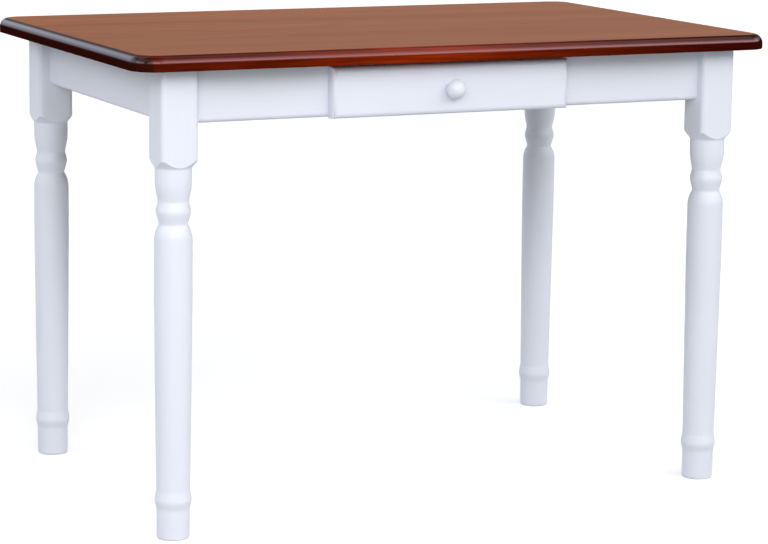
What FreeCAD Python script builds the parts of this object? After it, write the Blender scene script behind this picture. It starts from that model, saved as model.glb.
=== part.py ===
"""Kitchen table of solid pine with turned legs and one drawer.

Frame: millimetres, +X right along the table's length, +Y to the back, +Z up.
The origin is on the floor, under the middle of the table top.
Every separate piece of the table is written to its own STEP file.
"""

import FreeCAD
import Part

import math
import os

Vector = FreeCAD.Vector

# ---------------------------------------------------------------- whole table
TABLE_HEIGHT = 750.0
END_OVERHANG = 50.0       # top beyond the legs, at the table's ends
SIDE_OVERHANG = 33.0      # top beyond the legs, at the front and back

# ---------------------------------------------------------------- table top
TOP_LENGTH = 1104.0
TOP_WIDTH = 700.0
TOP_THICKNESS = 24.0
TOP_CORNER_RADIUS = 42.0
TOP_EDGE_ROUND = 15.0     # rounding along the upper edge
TOP_ARRIS = 1.5           # rounding along the underside
EDGE_UPRIGHT = 0.5        # least upright left between the two

# ---------------------------------------------------------------- legs
LEG_BLOCK = 60.0          # side of the square block, and of the blank
LEG_BLOCK_LENGTH = 138.0  # from the top's underside to where the corners end
LEG_EDGE_RADIUS = 7.5     # rounding of the block's upright edges
CONE_LENGTH = 13.0        # the block's turned end
CUP_STRAIGHT = 19.0
CUP_ROUND = 17.0
CUP_TAPER = 15.0          # down to the upper groove
BEAD_RISE = 9.5           # from the upper groove to the bead's crest
BEAD_CREST = 11.0
BEAD_FALL = 15.0          # from the crest to the lower groove
SHOULDER_FLARE = 7.5
SHOULDER_ROUND = 15.5
SHAFT_STRAIGHT = 90.0     # upper stretch of the shaft that doesn't taper
RING = 23.0
RING_CREST = 8.5          # from the foot to the ring's fullest place
FOOT_HEIGHT = 53.0
FOOT_CHAMFER = 1.5

# depth of each turned cut below the face of the blank
CUP_CUT = 1.7
CUP_MIDDLE_CUT = 2.1      # halfway along the cup's round
CUP_ROUND_CUT = 3.2
UPPER_GROOVE_CUT = 6.4
BEAD_TOP_CUT = 4.2
BEAD_CUT = 3.1
BEAD_FOOT_CUT = 3.8
LOWER_GROOVE_CUT = 8.0
SHOULDER_MIDDLE_CUT = 1.7  # halfway along the shoulder's round
SHOULDER_CUT = 4.2
SHAFT_CUT = 0.6
SHAFT_FOOT_CUT = 3.8
RING_CUT = 1.2
RING_SIDE_CUT = 2.0       # halfway from the foot to the ring's crest
FOOT_TOP_CUT = 4.2
FOOT_CUT = 4.6

# ---------------------------------------------------------------- aprons
APRON_HEIGHT = 85.0
APRON_THICKNESS = 20.0
APRON_SETBACK = 18.0      # apron's face behind the legs' faces
APRON_ROUND = 6.0         # rounding of the lower outer edge

# ---------------------------------------------------------------- leg joints
APRON_DOWEL_RADIUS = 5.0
APRON_DOWEL_DEPTH = 20.0  # depth in each of the two pieces
APRON_DOWEL_MARGIN = 15.0  # from the apron's edges to the dowels
CORNER_BLOCK_THICKNESS = 28.0
CORNER_BLOCK_HEIGHT = 60.0
CORNER_BLOCK_GAP = 2.0    # between the leg's inner edge and the block
BOLT_RADIUS = 4.0
BOLT_IN_LEG = 35.0
BOLT_SPACING = 28.0
BOLT_END = 4.0            # bolt beyond its nut
WASHER_RADIUS = 9.5
WASHER_THICKNESS = 1.6
NUT_ACROSS_FLATS = 13.0
NUT_HEIGHT = 6.5
BLOCK_SCREW_WEB = 10.0    # wood left between the screw's head and the apron

# ---------------------------------------------------------------- drawer
DRAWER_SHIFT = -17.0      # drawer's middle, left of the table's middle
DRAWER_TRAVEL = 280.0
FRONT_WIDTH = 412.0
FRONT_HEIGHT = 80.0
FRONT_THICKNESS = 19.0
FRONT_TOP_GAP = 6.0       # between the drawer front and the table top
FRONT_GAP = 0.5           # between the closed front and the apron
FRONT_ROUND = 4.5         # rounding of the front's outer edges
FRONT_LIP = 17.0          # front beyond the drawer's box, on each side
BOX_DEPTH = 400.0
BOX_HEIGHT = 52.0
BOX_WALL = 12.0
PANEL_THICKNESS = 4.0
GROOVE_RISE = 8.0         # from the sides' lower edge to the groove
GROOVE_DEPTH = 6.0
GROOVE_GAP = 0.2          # all round the panel in its grooves
FINGER_COUNT = 5          # fingers in each rear corner joint, both pieces
FINGER_GAP = 0.1
FRONT_DOWEL_RADIUS = 3.0
FRONT_DOWEL_IN_FRONT = 10.0
FRONT_DOWEL_IN_SIDE = 18.0
FRONT_DOWEL_MARGIN = 10.0  # below the side's upper edge
FRONT_DOWEL_SPACING = 22.0

# ---------------------------------------------------------------- drawer's window and rails
WINDOW_SILL = 12.0        # apron left below the window
SILL_CLEARANCE = 2.0      # box above the sill
HEAD_CLEARANCE = 5.0      # window above the box
WINDOW_SIDE_CLEARANCE = 3.0
SLIDE_GAP = 0.3           # between the runner's ledge and the box
GUIDE_GAP = 1.0           # between the runner's guide and the box
RUNNER_LEDGE_THICKNESS = 12.0
RUNNER_LEDGE_WIDTH = 15.0
RUNNER_GUIDE_HEIGHT = 25.0
RUNNER_GUIDE_THICKNESS = 18.0
RUNNER_DOWEL_RADIUS = 4.0
RUNNER_DOWEL_DEPTH = 12.0
RUNNER_DOWEL_MARGIN = 8.0
KICKER_WIDTH = 24.0
KICKER_GAP = 1.5          # between the box and the kicker
KICKER_SCREW_MARGIN = 84.0  # from the kicker's ends to its outer screws
STOP_WIDTH = 50.0
STOP_DEPTH = 18.0
STOP_SCREW_MARGIN = 12.5  # from the stop's ends to its screws
STOP_OVERLAP = 5.0        # stop block below the drawer back's upper edge
STOP_GAP = 0.5            # left at full travel

# ---------------------------------------------------------------- knob
KNOB_RADIUS = 15.75
KNOB_LENGTH = 24.0
KNOB_FOOT_RADIUS = 8.5
KNOB_NECK_RADIUS = 7.5
KNOB_NECK = 4.0           # from the drawer front to the ball
KNOB_WIDEST = 13.0        # from the drawer front to the widest place
KNOB_RIM = 6.0            # rounding of the ball's rim
KNOB_SCREW_RADIUS = 2.0
KNOB_SCREW_DEPTH = 12.0   # screw in the knob
KNOB_SCREW_HEAD_RADIUS = 4.0
KNOB_SCREW_HEAD = 2.4
KNOB_SCREW_RECESS = 3.0

# ---------------------------------------------------------------- top's fixing
BRACKET_LEG = 28.0
BRACKET_WIDTH = 16.0
BRACKET_THICKNESS = 2.0
BRACKET_HOLE = 17.0       # from the bracket's corner to its holes
BRACKET_FROM_LEG = 142.0  # from a leg's axis to the bracket on its long apron
SCREW_RADIUS = 2.0
SCREW_HEAD_RADIUS = 4.0
SCREW_HEAD = 2.4
SCREW_HEAD_TOP = 0.75     # share of a round head's width that is left at its top
BRACKET_SCREW_DEPTH = 14.0
BLOCK_SCREW_DEPTH = 14.0
TOP_SCREW_DEPTH = 13.0    # kicker and stop screws in the top
PANEL_SCREW_RADIUS = 1.5
PANEL_SCREW_HEAD_RADIUS = 3.0
PANEL_SCREW_LENGTH = 18.0
PANEL_SCREW_MARGIN = 66.0  # from the box's sides to its outer panel screws
FIT = 0.1                 # play round each dowel, bolt and screw
HEAD_PLAY = 0.3           # play round a screw's head, and of a washer on its bolt
BLOCK_BOLT_PLAY = 0.5     # play round the bolts in the corner blocks
DOWEL_END_GAP = 0.5

# ---------------------------------------------------------------- worked out
UNDERSIDE = TABLE_HEIGHT - TOP_THICKNESS
HALF_BLOCK = LEG_BLOCK / 2
LEG_X = TOP_LENGTH / 2 - END_OVERHANG - HALF_BLOCK
LEG_Y = TOP_WIDTH / 2 - SIDE_OVERHANG - HALF_BLOCK
LEG_CORNER_REACH = (HALF_BLOCK - LEG_EDGE_RADIUS) * math.sqrt(2) + LEG_EDGE_RADIUS
APRON_BOTTOM = UNDERSIDE - APRON_HEIGHT
APRON_MIDDLE = UNDERSIDE - APRON_HEIGHT / 2
APRON_OUT = HALF_BLOCK - APRON_SETBACK        # apron's face from the leg's axis, outwards
APRON_IN = APRON_OUT - APRON_THICKNESS        # apron's inner face, outwards
APRON_CENTRE = APRON_OUT - APRON_THICKNESS / 2
FRONT_INNER_Y = LEG_Y + APRON_IN              # inner face of the front and back aprons
BOX_HALF = FRONT_WIDTH / 2 - FRONT_LIP
BOX_BOTTOM = APRON_BOTTOM + WINDOW_SILL + SILL_CLEARANCE
BOX_TOP = BOX_BOTTOM + BOX_HEIGHT
BOX_FRONT = -(LEG_Y + APRON_OUT) - FRONT_GAP  # rear face of the drawer front
BOX_BACK = BOX_FRONT + BOX_DEPTH
FRONT_FACE = BOX_FRONT - FRONT_THICKNESS
FRONT_TOP = UNDERSIDE - FRONT_TOP_GAP
FRONT_BOTTOM = FRONT_TOP - FRONT_HEIGHT
PANEL_BOTTOM = BOX_BOTTOM + GROOVE_RISE
PANEL_TOP = PANEL_BOTTOM + PANEL_THICKNESS
KNOB_Z = (FRONT_TOP + FRONT_BOTTOM) / 2
GUIDE_INNER = BOX_HALF + GUIDE_GAP            # runner's guide from the drawer's middle
LEDGE_TOP = BOX_BOTTOM - SLIDE_GAP
BLOCK_FACE = LEG_CORNER_REACH + CORNER_BLOCK_GAP  # corner block from the leg's axis
BLOCK_BACK = BLOCK_FACE + CORNER_BLOCK_THICKNESS

CORNERS = {
    "front_left": (-1, -1),
    "front_right": (1, -1),
    "back_left": (-1, 1),
    "back_right": (1, 1),
}
SIDES = {"left": -1, "right": 1}


# ================================================================ helpers
def box(x0, x1, y0, y1, z0, z1):
    """Block between two corners, given in any order."""
    low = Vector(min(x0, x1), min(y0, y1), min(z0, z1))
    return Part.makeBox(abs(x1 - x0), abs(y1 - y0), abs(z1 - z0), low)


def rod(radius, start, direction, length):
    """Round rod from a start point along a direction."""
    return Part.makeCylinder(radius, length, start, direction)


def place(shape, point, direction):
    """Copy of a shape built along +Z, turned to a direction and moved to a point."""
    turn = FreeCAD.Rotation(Vector(0, 0, 1), direction)
    moved = shape.copy()
    moved.Placement = FreeCAD.Placement(point, turn)
    return moved


def cut_all(shape, tools):
    """Shape without all the tools' volumes."""
    return shape.cut(Part.makeCompound(tools)) if tools else shape


def upright_edges(shape):
    """Straight edges that run along Z."""
    found = []
    for edge in shape.Edges:
        ends = [vertex.Point for vertex in edge.Vertexes]
        if len(ends) == 2 and abs(ends[0].x - ends[1].x) + abs(ends[0].y - ends[1].y) < 1e-6:
            found.append(edge)
    return found


def edges_at(shape, height):
    """Edges that lie wholly at one height."""
    found = []
    for edge in shape.Edges:
        bounds = edge.BoundBox
        if abs(bounds.ZMin - height) < 1e-6 and abs(bounds.ZMax - height) < 1e-6:
            found.append(edge)
    return found


class Outline:
    """Half outline of a turned piece, as radius and height, drawn up from its first point."""

    def __init__(self, radius, height):
        self.here = (radius, height)
        self.edges = []

    def line(self, radius, height):
        """Straight run to a point."""
        start = Vector(self.here[0], 0, self.here[1])
        end = Vector(radius, 0, height)
        self.edges.append(Part.LineSegment(start, end).toShape())
        self.here = (radius, height)

    def arc(self, middle, radius, height):
        """Arc through a middle point to an end point."""
        start = Vector(self.here[0], 0, self.here[1])
        through = Vector(middle[0], 0, middle[1])
        self.edges.append(Part.Arc(start, through, Vector(radius, 0, height)).toShape())
        self.here = (radius, height)

    def arc_about(self, centre, radius, height):
        """Arc about a centre to an end point, the short way round."""
        start = math.atan2(self.here[1] - centre[1], self.here[0] - centre[0])
        end = math.atan2(height - centre[1], radius - centre[0])
        reach = math.hypot(radius - centre[0], height - centre[1])
        half = (start + end) / 2
        self.arc((centre[0] + reach * math.cos(half), centre[1] + reach * math.sin(half)), radius, height)

    def turned(self):
        """Solid turned about the Z axis; the outline starts and ends on the axis."""
        face = Part.Face(Part.Wire(self.edges))
        return face.revolve(Vector(0, 0, 0), Vector(0, 0, 1), 360)


def closed_outline(points):
    """Outline through points with straight runs, closed along the axis."""
    outline = Outline(*points[0])
    for radius, height in points[1:] + points[:1]:
        outline.line(radius, height)
    return outline.turned()


# ================================================================ screws
def countersunk(radius, head_radius, length, play=0.0):
    """Wood screw along +Z with a countersunk head, its head's face at the origin."""
    return closed_outline([
        (0, 0),
        (head_radius + play, 0),
        (radius + play, head_radius - radius),
        (radius + play, length + play),
        (0, length + play),
    ])


def pan_head(radius, head_radius, head, length):
    """Screw along +Z with a tapered round head below the origin and its shank above."""
    return closed_outline([
        (0, -head),
        (head_radius * SCREW_HEAD_TOP, -head),
        (head_radius, 0),
        (radius, 0),
        (radius, length),
        (0, length),
    ])


def shank_hole(radius, length):
    """Hole along +Z for a screw's shank, with its play."""
    return rod(radius + FIT, Vector(0, 0, 0), Vector(0, 0, 1), length + FIT)


# ================================================================ table top
def table_top(holes):
    """Board with rounded corners and a rounded upper edge, and holes for its screws."""
    x = TOP_LENGTH / 2
    y = TOP_WIDTH / 2
    board = box(-x, x, -y, y, UNDERSIDE, TABLE_HEIGHT)
    board = board.makeFillet(TOP_CORNER_RADIUS, upright_edges(board))
    board = board.makeFillet(TOP_ARRIS, edges_at(board, UNDERSIDE))
    edge_round = min(TOP_EDGE_ROUND, TOP_THICKNESS - TOP_ARRIS - EDGE_UPRIGHT)
    board = board.makeFillet(edge_round, edges_at(board, TABLE_HEIGHT))
    return cut_all(board, holes)


# ================================================================ legs
def turned_leg():
    """Leg on the origin's axis: a square block above a turned shaft, ring and foot."""
    def radius(cut):
        return HALF_BLOCK - cut

    block_end = UNDERSIDE - LEG_BLOCK_LENGTH
    cup_top = block_end - CONE_LENGTH
    cup_edge = cup_top - CUP_STRAIGHT
    cup_taper = cup_edge - CUP_ROUND
    upper_groove = cup_taper - CUP_TAPER
    bead_top = upper_groove - BEAD_RISE
    bead_foot = bead_top - BEAD_CREST
    lower_groove = bead_foot - BEAD_FALL
    shoulder = lower_groove - SHOULDER_FLARE
    shaft_top = shoulder - SHOULDER_ROUND
    ring_top = FOOT_HEIGHT + RING
    slope = (LEG_CORNER_REACH - radius(CUP_CUT)) / CONE_LENGTH
    beyond = CONE_LENGTH / 2  # cone carried on outside the block's corners

    leg = Outline(0, 0)
    leg.line(radius(FOOT_CUT) - FOOT_CHAMFER, 0)
    leg.line(radius(FOOT_CUT), FOOT_CHAMFER)
    leg.line(radius(FOOT_TOP_CUT), FOOT_HEIGHT)
    ring_crest = FOOT_HEIGHT + RING_CREST
    ring_side = FOOT_HEIGHT + RING_CREST / 2
    leg.arc((radius(RING_SIDE_CUT), ring_side), radius(RING_CUT), ring_crest)
    leg.line(radius(SHAFT_FOOT_CUT), ring_top)
    leg.line(radius(SHAFT_CUT), shaft_top - SHAFT_STRAIGHT)
    leg.line(radius(SHAFT_CUT), shaft_top)
    leg.arc((radius(SHOULDER_MIDDLE_CUT), (shaft_top + shoulder) / 2), radius(SHOULDER_CUT), shoulder)
    leg.line(radius(LOWER_GROOVE_CUT), lower_groove)
    leg.line(radius(BEAD_FOOT_CUT), bead_foot)
    leg.arc((radius(BEAD_CUT), bead_foot + BEAD_CREST / 2), radius(BEAD_TOP_CUT), bead_top)
    leg.line(radius(UPPER_GROOVE_CUT), upper_groove)
    leg.line(radius(CUP_ROUND_CUT), cup_taper)
    leg.arc((radius(CUP_MIDDLE_CUT), (cup_taper + cup_edge) / 2), radius(CUP_CUT), cup_edge)
    leg.line(radius(CUP_CUT), cup_top)
    leg.line(LEG_CORNER_REACH + beyond, block_end + beyond / slope)
    leg.line(LEG_CORNER_REACH + beyond, UNDERSIDE)
    leg.line(0, UNDERSIDE)
    leg.line(0, 0)

    blank = box(-HALF_BLOCK, HALF_BLOCK, -HALF_BLOCK, HALF_BLOCK, 0, UNDERSIDE)
    blank = blank.makeFillet(LEG_EDGE_RADIUS, upright_edges(blank))
    return leg.turned().common(blank)


def from_leg(corner, inward_x, inward_y, z):
    """Point given from a leg's axis, with both distances towards the table's middle."""
    sx, sy = CORNERS[corner]
    return Vector(sx * (LEG_X - inward_x), sy * (LEG_Y - inward_y), z)


def diagonal(corner):
    """Direction from a leg's axis towards the table's middle, at 45 degrees."""
    sx, sy = CORNERS[corner]
    return Vector(-sx, -sy, 0).normalize()


def bolt_heights():
    return [APRON_MIDDLE - BOLT_SPACING / 2, APRON_MIDDLE + BOLT_SPACING / 2]


def dowel_heights():
    return [APRON_BOTTOM + APRON_DOWEL_MARGIN, UNDERSIDE - APRON_DOWEL_MARGIN]


def apron_dowels_at(corner, radius, depth):
    """Dowels between one leg and its two aprons, reaching a depth into each piece."""
    sx, sy = CORNERS[corner]
    dowels = []
    for z in dowel_heights():
        along_x = from_leg(corner, HALF_BLOCK - depth, -APRON_CENTRE, z)
        along_y = from_leg(corner, -APRON_CENTRE, HALF_BLOCK - depth, z)
        dowels.append(rod(radius, along_x, Vector(-sx, 0, 0), 2 * depth))
        dowels.append(rod(radius, along_y, Vector(0, -sy, 0), 2 * depth))
    return dowels


def all_apron_dowels(radius, depth):
    dowels = []
    for corner in CORNERS:
        dowels += apron_dowels_at(corner, radius, depth)
    return dowels


def bolt_rods(corner, radius, start, end):
    """Rods on the bolts' axes, between two distances from the leg's axis."""
    way = diagonal(corner)
    rods = []
    for z in bolt_heights():
        rods.append(rod(radius, from_leg(corner, 0, 0, z) + way * start, way, end - start))
    return rods


def leg_at(corner, blank):
    """One leg in its place, with its dowel and bolt holes."""
    leg = place(blank, from_leg(corner, 0, 0, 0), Vector(0, 0, 1))
    holes = apron_dowels_at(corner, APRON_DOWEL_RADIUS + FIT, APRON_DOWEL_DEPTH + DOWEL_END_GAP)
    bolt_start = LEG_CORNER_REACH - BOLT_IN_LEG - DOWEL_END_GAP
    holes += bolt_rods(corner, BOLT_RADIUS + FIT, bolt_start, BLOCK_FACE)
    return cut_all(leg, holes)


# ================================================================ corner blocks and their hardware
def block_screw_places(corner):
    """Head point and direction of the screws from one corner block into its two aprons."""
    sx, sy = CORNERS[corner]
    inner = -APRON_IN  # aprons' inner faces from the leg's axis, inwards
    head_rise = inner + BLOCK_SCREW_WEB
    middle = (BLOCK_FACE + BLOCK_BACK) / 2 * math.sqrt(2)
    along = middle - inner
    return [
        (from_leg(corner, along, head_rise, APRON_MIDDLE), Vector(0, sy, 0)),
        (from_leg(corner, head_rise, along, APRON_MIDDLE), Vector(sx, 0, 0)),
    ]


def corner_block(corner):
    """Diagonal block glued between two aprons behind a leg."""
    inner = -APRON_IN
    near = BLOCK_FACE * math.sqrt(2) - inner
    far = BLOCK_BACK * math.sqrt(2) - inner
    bottom = APRON_MIDDLE - CORNER_BLOCK_HEIGHT / 2
    plan = [(near, inner), (far, inner), (inner, far), (inner, near), (near, inner)]
    wire = Part.makePolygon([from_leg(corner, u, v, bottom) for u, v in plan])
    block = Part.Face(wire).extrude(Vector(0, 0, CORNER_BLOCK_HEIGHT))
    tools = bolt_rods(corner, BOLT_RADIUS + BLOCK_BOLT_PLAY, 0, BLOCK_BACK + CORNER_BLOCK_THICKNESS)
    for point, way in block_screw_places(corner):
        tools.append(rod(SCREW_RADIUS + FIT, point, way, BLOCK_SCREW_WEB))
        tools.append(rod(SCREW_HEAD_RADIUS + HEAD_PLAY, point, way * -1, far))
    return cut_all(block, tools)


def block_screws():
    screw = pan_head(SCREW_RADIUS, SCREW_HEAD_RADIUS, SCREW_HEAD, BLOCK_SCREW_WEB + BLOCK_SCREW_DEPTH)
    screws = []
    for corner in CORNERS:
        for point, way in block_screw_places(corner):
            screws.append(place(screw, point, way))
    return screws


def block_screw_holes():
    hole = shank_hole(SCREW_RADIUS, BLOCK_SCREW_WEB + BLOCK_SCREW_DEPTH)
    holes = []
    for corner in CORNERS:
        for point, way in block_screw_places(corner):
            holes.append(place(hole, point, way))
    return holes


def hanger_bolts():
    start = LEG_CORNER_REACH - BOLT_IN_LEG
    end = BLOCK_BACK + WASHER_THICKNESS + NUT_HEIGHT + BOLT_END
    bolts = []
    for corner in CORNERS:
        bolts += bolt_rods(corner, BOLT_RADIUS, start, end)
    return bolts


def on_bolts(shape, distance):
    """Copies of a shape built along +Z, one on each bolt at a distance from the leg's axis."""
    copies = []
    for corner in CORNERS:
        way = diagonal(corner)
        for z in bolt_heights():
            copies.append(place(shape, from_leg(corner, 0, 0, z) + way * distance, way))
    return copies


def washer():
    up = Vector(0, 0, 1)
    disc = rod(WASHER_RADIUS, Vector(0, 0, 0), up, WASHER_THICKNESS)
    return disc.cut(rod(BOLT_RADIUS + HEAD_PLAY, Vector(0, 0, 0), up, WASHER_THICKNESS))


def nut():
    """Hexagon nut along +Z."""
    reach = NUT_ACROSS_FLATS / math.sqrt(3)
    corners = []
    for side in range(7):
        angle = math.radians(60 * side)
        corners.append(Vector(reach * math.cos(angle), reach * math.sin(angle), 0))
    body = Part.Face(Part.makePolygon(corners)).extrude(Vector(0, 0, NUT_HEIGHT))
    return body.cut(rod(BOLT_RADIUS + FIT, Vector(0, 0, 0), Vector(0, 0, 1), NUT_HEIGHT))


# ================================================================ top's brackets
def bracket_places():
    """Corner point under the top on an apron's inner face, and the apron's outward direction."""
    inner_x = LEG_X + APRON_IN
    back = Vector(0, 1, 0)
    places = [(Vector(0, FRONT_INNER_Y, UNDERSIDE), back)]
    for side in (-1, 1):
        spread = side * (LEG_X - BRACKET_FROM_LEG)
        places.append((Vector(spread, FRONT_INNER_Y, UNDERSIDE), back))
        places.append((Vector(spread, -FRONT_INNER_Y, UNDERSIDE), back * -1))
        places.append((Vector(side * inner_x, 0, UNDERSIDE), Vector(side, 0, 0)))
    return places


def bracket_screw_places():
    """Head point and direction of each bracket's two screws."""
    places = []
    for corner, outward in bracket_places():
        down = Vector(0, 0, -1)
        places.append((corner + down * BRACKET_HOLE - outward * BRACKET_THICKNESS, outward))
        places.append((corner - outward * BRACKET_HOLE + down * BRACKET_THICKNESS, down * -1))
    return places


def top_brackets():
    """Steel angles, one leg on the apron and one under the top."""
    leg = BRACKET_LEG
    thick = BRACKET_THICKNESS
    holes = []
    for point, way in bracket_screw_places():
        holes.append(rod(SCREW_RADIUS + FIT, point, way, thick))
    brackets = []
    for corner, outward in bracket_places():
        sideways = outward.cross(Vector(0, 0, 1)) * (BRACKET_WIDTH / 2)
        section = [(0, 0), (0, -leg), (-thick, -leg), (-thick, -thick), (-leg, -thick), (-leg, 0), (0, 0)]
        wire = Part.makePolygon([corner - sideways + outward * u + Vector(0, 0, v) for u, v in section])
        angle = Part.Face(wire).extrude(sideways * 2)
        brackets.append(cut_all(angle, holes))
    return brackets


def bracket_screws():
    screw = pan_head(SCREW_RADIUS, SCREW_HEAD_RADIUS, SCREW_HEAD, BRACKET_THICKNESS + BRACKET_SCREW_DEPTH)
    return [place(screw, point, way) for point, way in bracket_screw_places()]


def bracket_screw_holes():
    hole = shank_hole(SCREW_RADIUS, BRACKET_THICKNESS + BRACKET_SCREW_DEPTH)
    return [place(hole, point, way) for point, way in bracket_screw_places()]


# ================================================================ aprons
def apron_board(length, height_bottom, height_top):
    """Board along X with its inner face at y = 0 and its outer face at -Y, lower outer edge rounded."""
    board = box(-length / 2, length / 2, -APRON_THICKNESS, 0, height_bottom, height_top)
    lower = []
    for edge in edges_at(board, height_bottom):
        if abs(edge.BoundBox.YMin + APRON_THICKNESS) < 1e-6 and edge.BoundBox.YLength < 1e-6:
            lower.append(edge)
    return board.makeFillet(APRON_ROUND, lower)


def turned_about_z(shape, degrees):
    turned = shape.copy()
    turned.rotate(Vector(0, 0, 0), Vector(0, 0, 1), degrees)
    return turned


def apron_boards():
    """The four aprons before their holes, by name."""
    long_apron = apron_board(2 * (LEG_X - HALF_BLOCK), APRON_BOTTOM, UNDERSIDE)
    short_apron = apron_board(2 * (LEG_Y - HALF_BLOCK), APRON_BOTTOM, UNDERSIDE)
    inner_x = LEG_X + APRON_IN
    boards = {
        "apron_front": (long_apron, 0, Vector(0, -FRONT_INNER_Y, 0)),
        "apron_back": (long_apron, 180, Vector(0, FRONT_INNER_Y, 0)),
        "apron_left": (short_apron, -90, Vector(-inner_x, 0, 0)),
        "apron_right": (short_apron, 90, Vector(inner_x, 0, 0)),
    }
    placed = {}
    for name, (board, degrees, shift) in boards.items():
        turned = turned_about_z(board, degrees)
        turned.translate(shift)
        placed[name] = turned
    return placed


def drawer_window():
    """Cut-out of the front apron that the drawer's box runs through."""
    half = BOX_HALF + WINDOW_SIDE_CLEARANCE
    y = FRONT_INNER_Y
    x0 = DRAWER_SHIFT - half
    x1 = DRAWER_SHIFT + half
    z0 = APRON_BOTTOM + WINDOW_SILL
    return box(x0, x1, -y - 2 * APRON_THICKNESS, -y + APRON_THICKNESS, z0, BOX_TOP + HEAD_CLEARANCE)


def aprons():
    """The four aprons with their window and holes, by name."""
    holes = all_apron_dowels(APRON_DOWEL_RADIUS + FIT, APRON_DOWEL_DEPTH + DOWEL_END_GAP)
    holes += runner_dowels(RUNNER_DOWEL_RADIUS + FIT, RUNNER_DOWEL_DEPTH + DOWEL_END_GAP)
    holes += block_screw_holes()
    holes += bracket_screw_holes()
    pieces = {}
    for name, board in apron_boards().items():
        tools = holes + [drawer_window()] if name == "apron_front" else holes
        pieces[name] = cut_all(board, tools)
    return pieces


# ================================================================ drawer's rails
def runner_dowels(radius, depth):
    """Dowels between the runners' ends and the front and back aprons."""
    low = LEDGE_TOP - RUNNER_LEDGE_THICKNESS + RUNNER_DOWEL_MARGIN
    high = LEDGE_TOP + RUNNER_GUIDE_HEIGHT - RUNNER_DOWEL_MARGIN
    centre = GUIDE_INNER + RUNNER_GUIDE_THICKNESS / 2
    dowels = []
    for side in SIDES.values():
        x = DRAWER_SHIFT + side * centre
        for end in (-1, 1):
            for z in (low, high):
                start = Vector(x, end * FRONT_INNER_Y - depth, z)
                dowels.append(rod(radius, start, Vector(0, 1, 0), 2 * depth))
    return dowels


def runner(side):
    """L-shaped rail: a ledge under the drawer's side and a guide beside it."""
    bottom = LEDGE_TOP - RUNNER_LEDGE_THICKNESS
    inner = DRAWER_SHIFT + side * (GUIDE_INNER - RUNNER_LEDGE_WIDTH)
    guide = DRAWER_SHIFT + side * GUIDE_INNER
    outer = DRAWER_SHIFT + side * (GUIDE_INNER + RUNNER_GUIDE_THICKNESS)
    top = LEDGE_TOP + RUNNER_GUIDE_HEIGHT
    section = [(inner, bottom), (outer, bottom), (outer, top), (guide, top), (guide, LEDGE_TOP),
               (inner, LEDGE_TOP), (inner, bottom)]
    wire = Part.makePolygon([Vector(x, -FRONT_INNER_Y, z) for x, z in section])
    rail = Part.Face(wire).extrude(Vector(0, 2 * FRONT_INNER_Y, 0))
    return cut_all(rail, runner_dowels(RUNNER_DOWEL_RADIUS + FIT, RUNNER_DOWEL_DEPTH + DOWEL_END_GAP))


def kicker_bottom():
    return BOX_TOP + KICKER_GAP


def kicker_screw_places(side):
    """Head points, on the underside of one kicker, of its screws up into the top."""
    x = DRAWER_SHIFT + side * (BOX_HALF - BOX_WALL / 2)
    spread = FRONT_INNER_Y - KICKER_SCREW_MARGIN
    return [Vector(x, y, kicker_bottom()) for y in (-spread, 0, spread)]


def stop_bottom():
    return BOX_TOP - STOP_OVERLAP


def stop_rear():
    """Rear face of the stop, which the drawer's back meets at full travel."""
    return BOX_BACK - BOX_WALL - DRAWER_TRAVEL - STOP_GAP


def stop_screw_places():
    y = stop_rear() - STOP_DEPTH / 2
    spread = STOP_WIDTH / 2 - STOP_SCREW_MARGIN
    return [Vector(DRAWER_SHIFT + side * spread, y, stop_bottom()) for side in (-1, 1)]


def upward_screws(points, play=0.0):
    """Countersunk screws from given points up into the top."""
    up = Vector(0, 0, 1)
    screws = []
    for point in points:
        length = UNDERSIDE + TOP_SCREW_DEPTH - point.z
        screws.append(place(countersunk(SCREW_RADIUS, SCREW_HEAD_RADIUS, length, play), point, up))
    return screws


def kicker(side):
    """Strip under the top, over one side of the drawer."""
    x = DRAWER_SHIFT + side * (BOX_HALF - BOX_WALL / 2)
    half = KICKER_WIDTH / 2
    strip = box(x - half, x + half, -FRONT_INNER_Y, FRONT_INNER_Y, kicker_bottom(), UNDERSIDE)
    return cut_all(strip, upward_screws(kicker_screw_places(side), FIT))


def drawer_stop():
    """Block under the top that catches the drawer's back."""
    half = STOP_WIDTH / 2
    rear = stop_rear()
    block = box(DRAWER_SHIFT - half, DRAWER_SHIFT + half, rear - STOP_DEPTH, rear, stop_bottom(), UNDERSIDE)
    return cut_all(block, upward_screws(stop_screw_places(), FIT))


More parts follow.
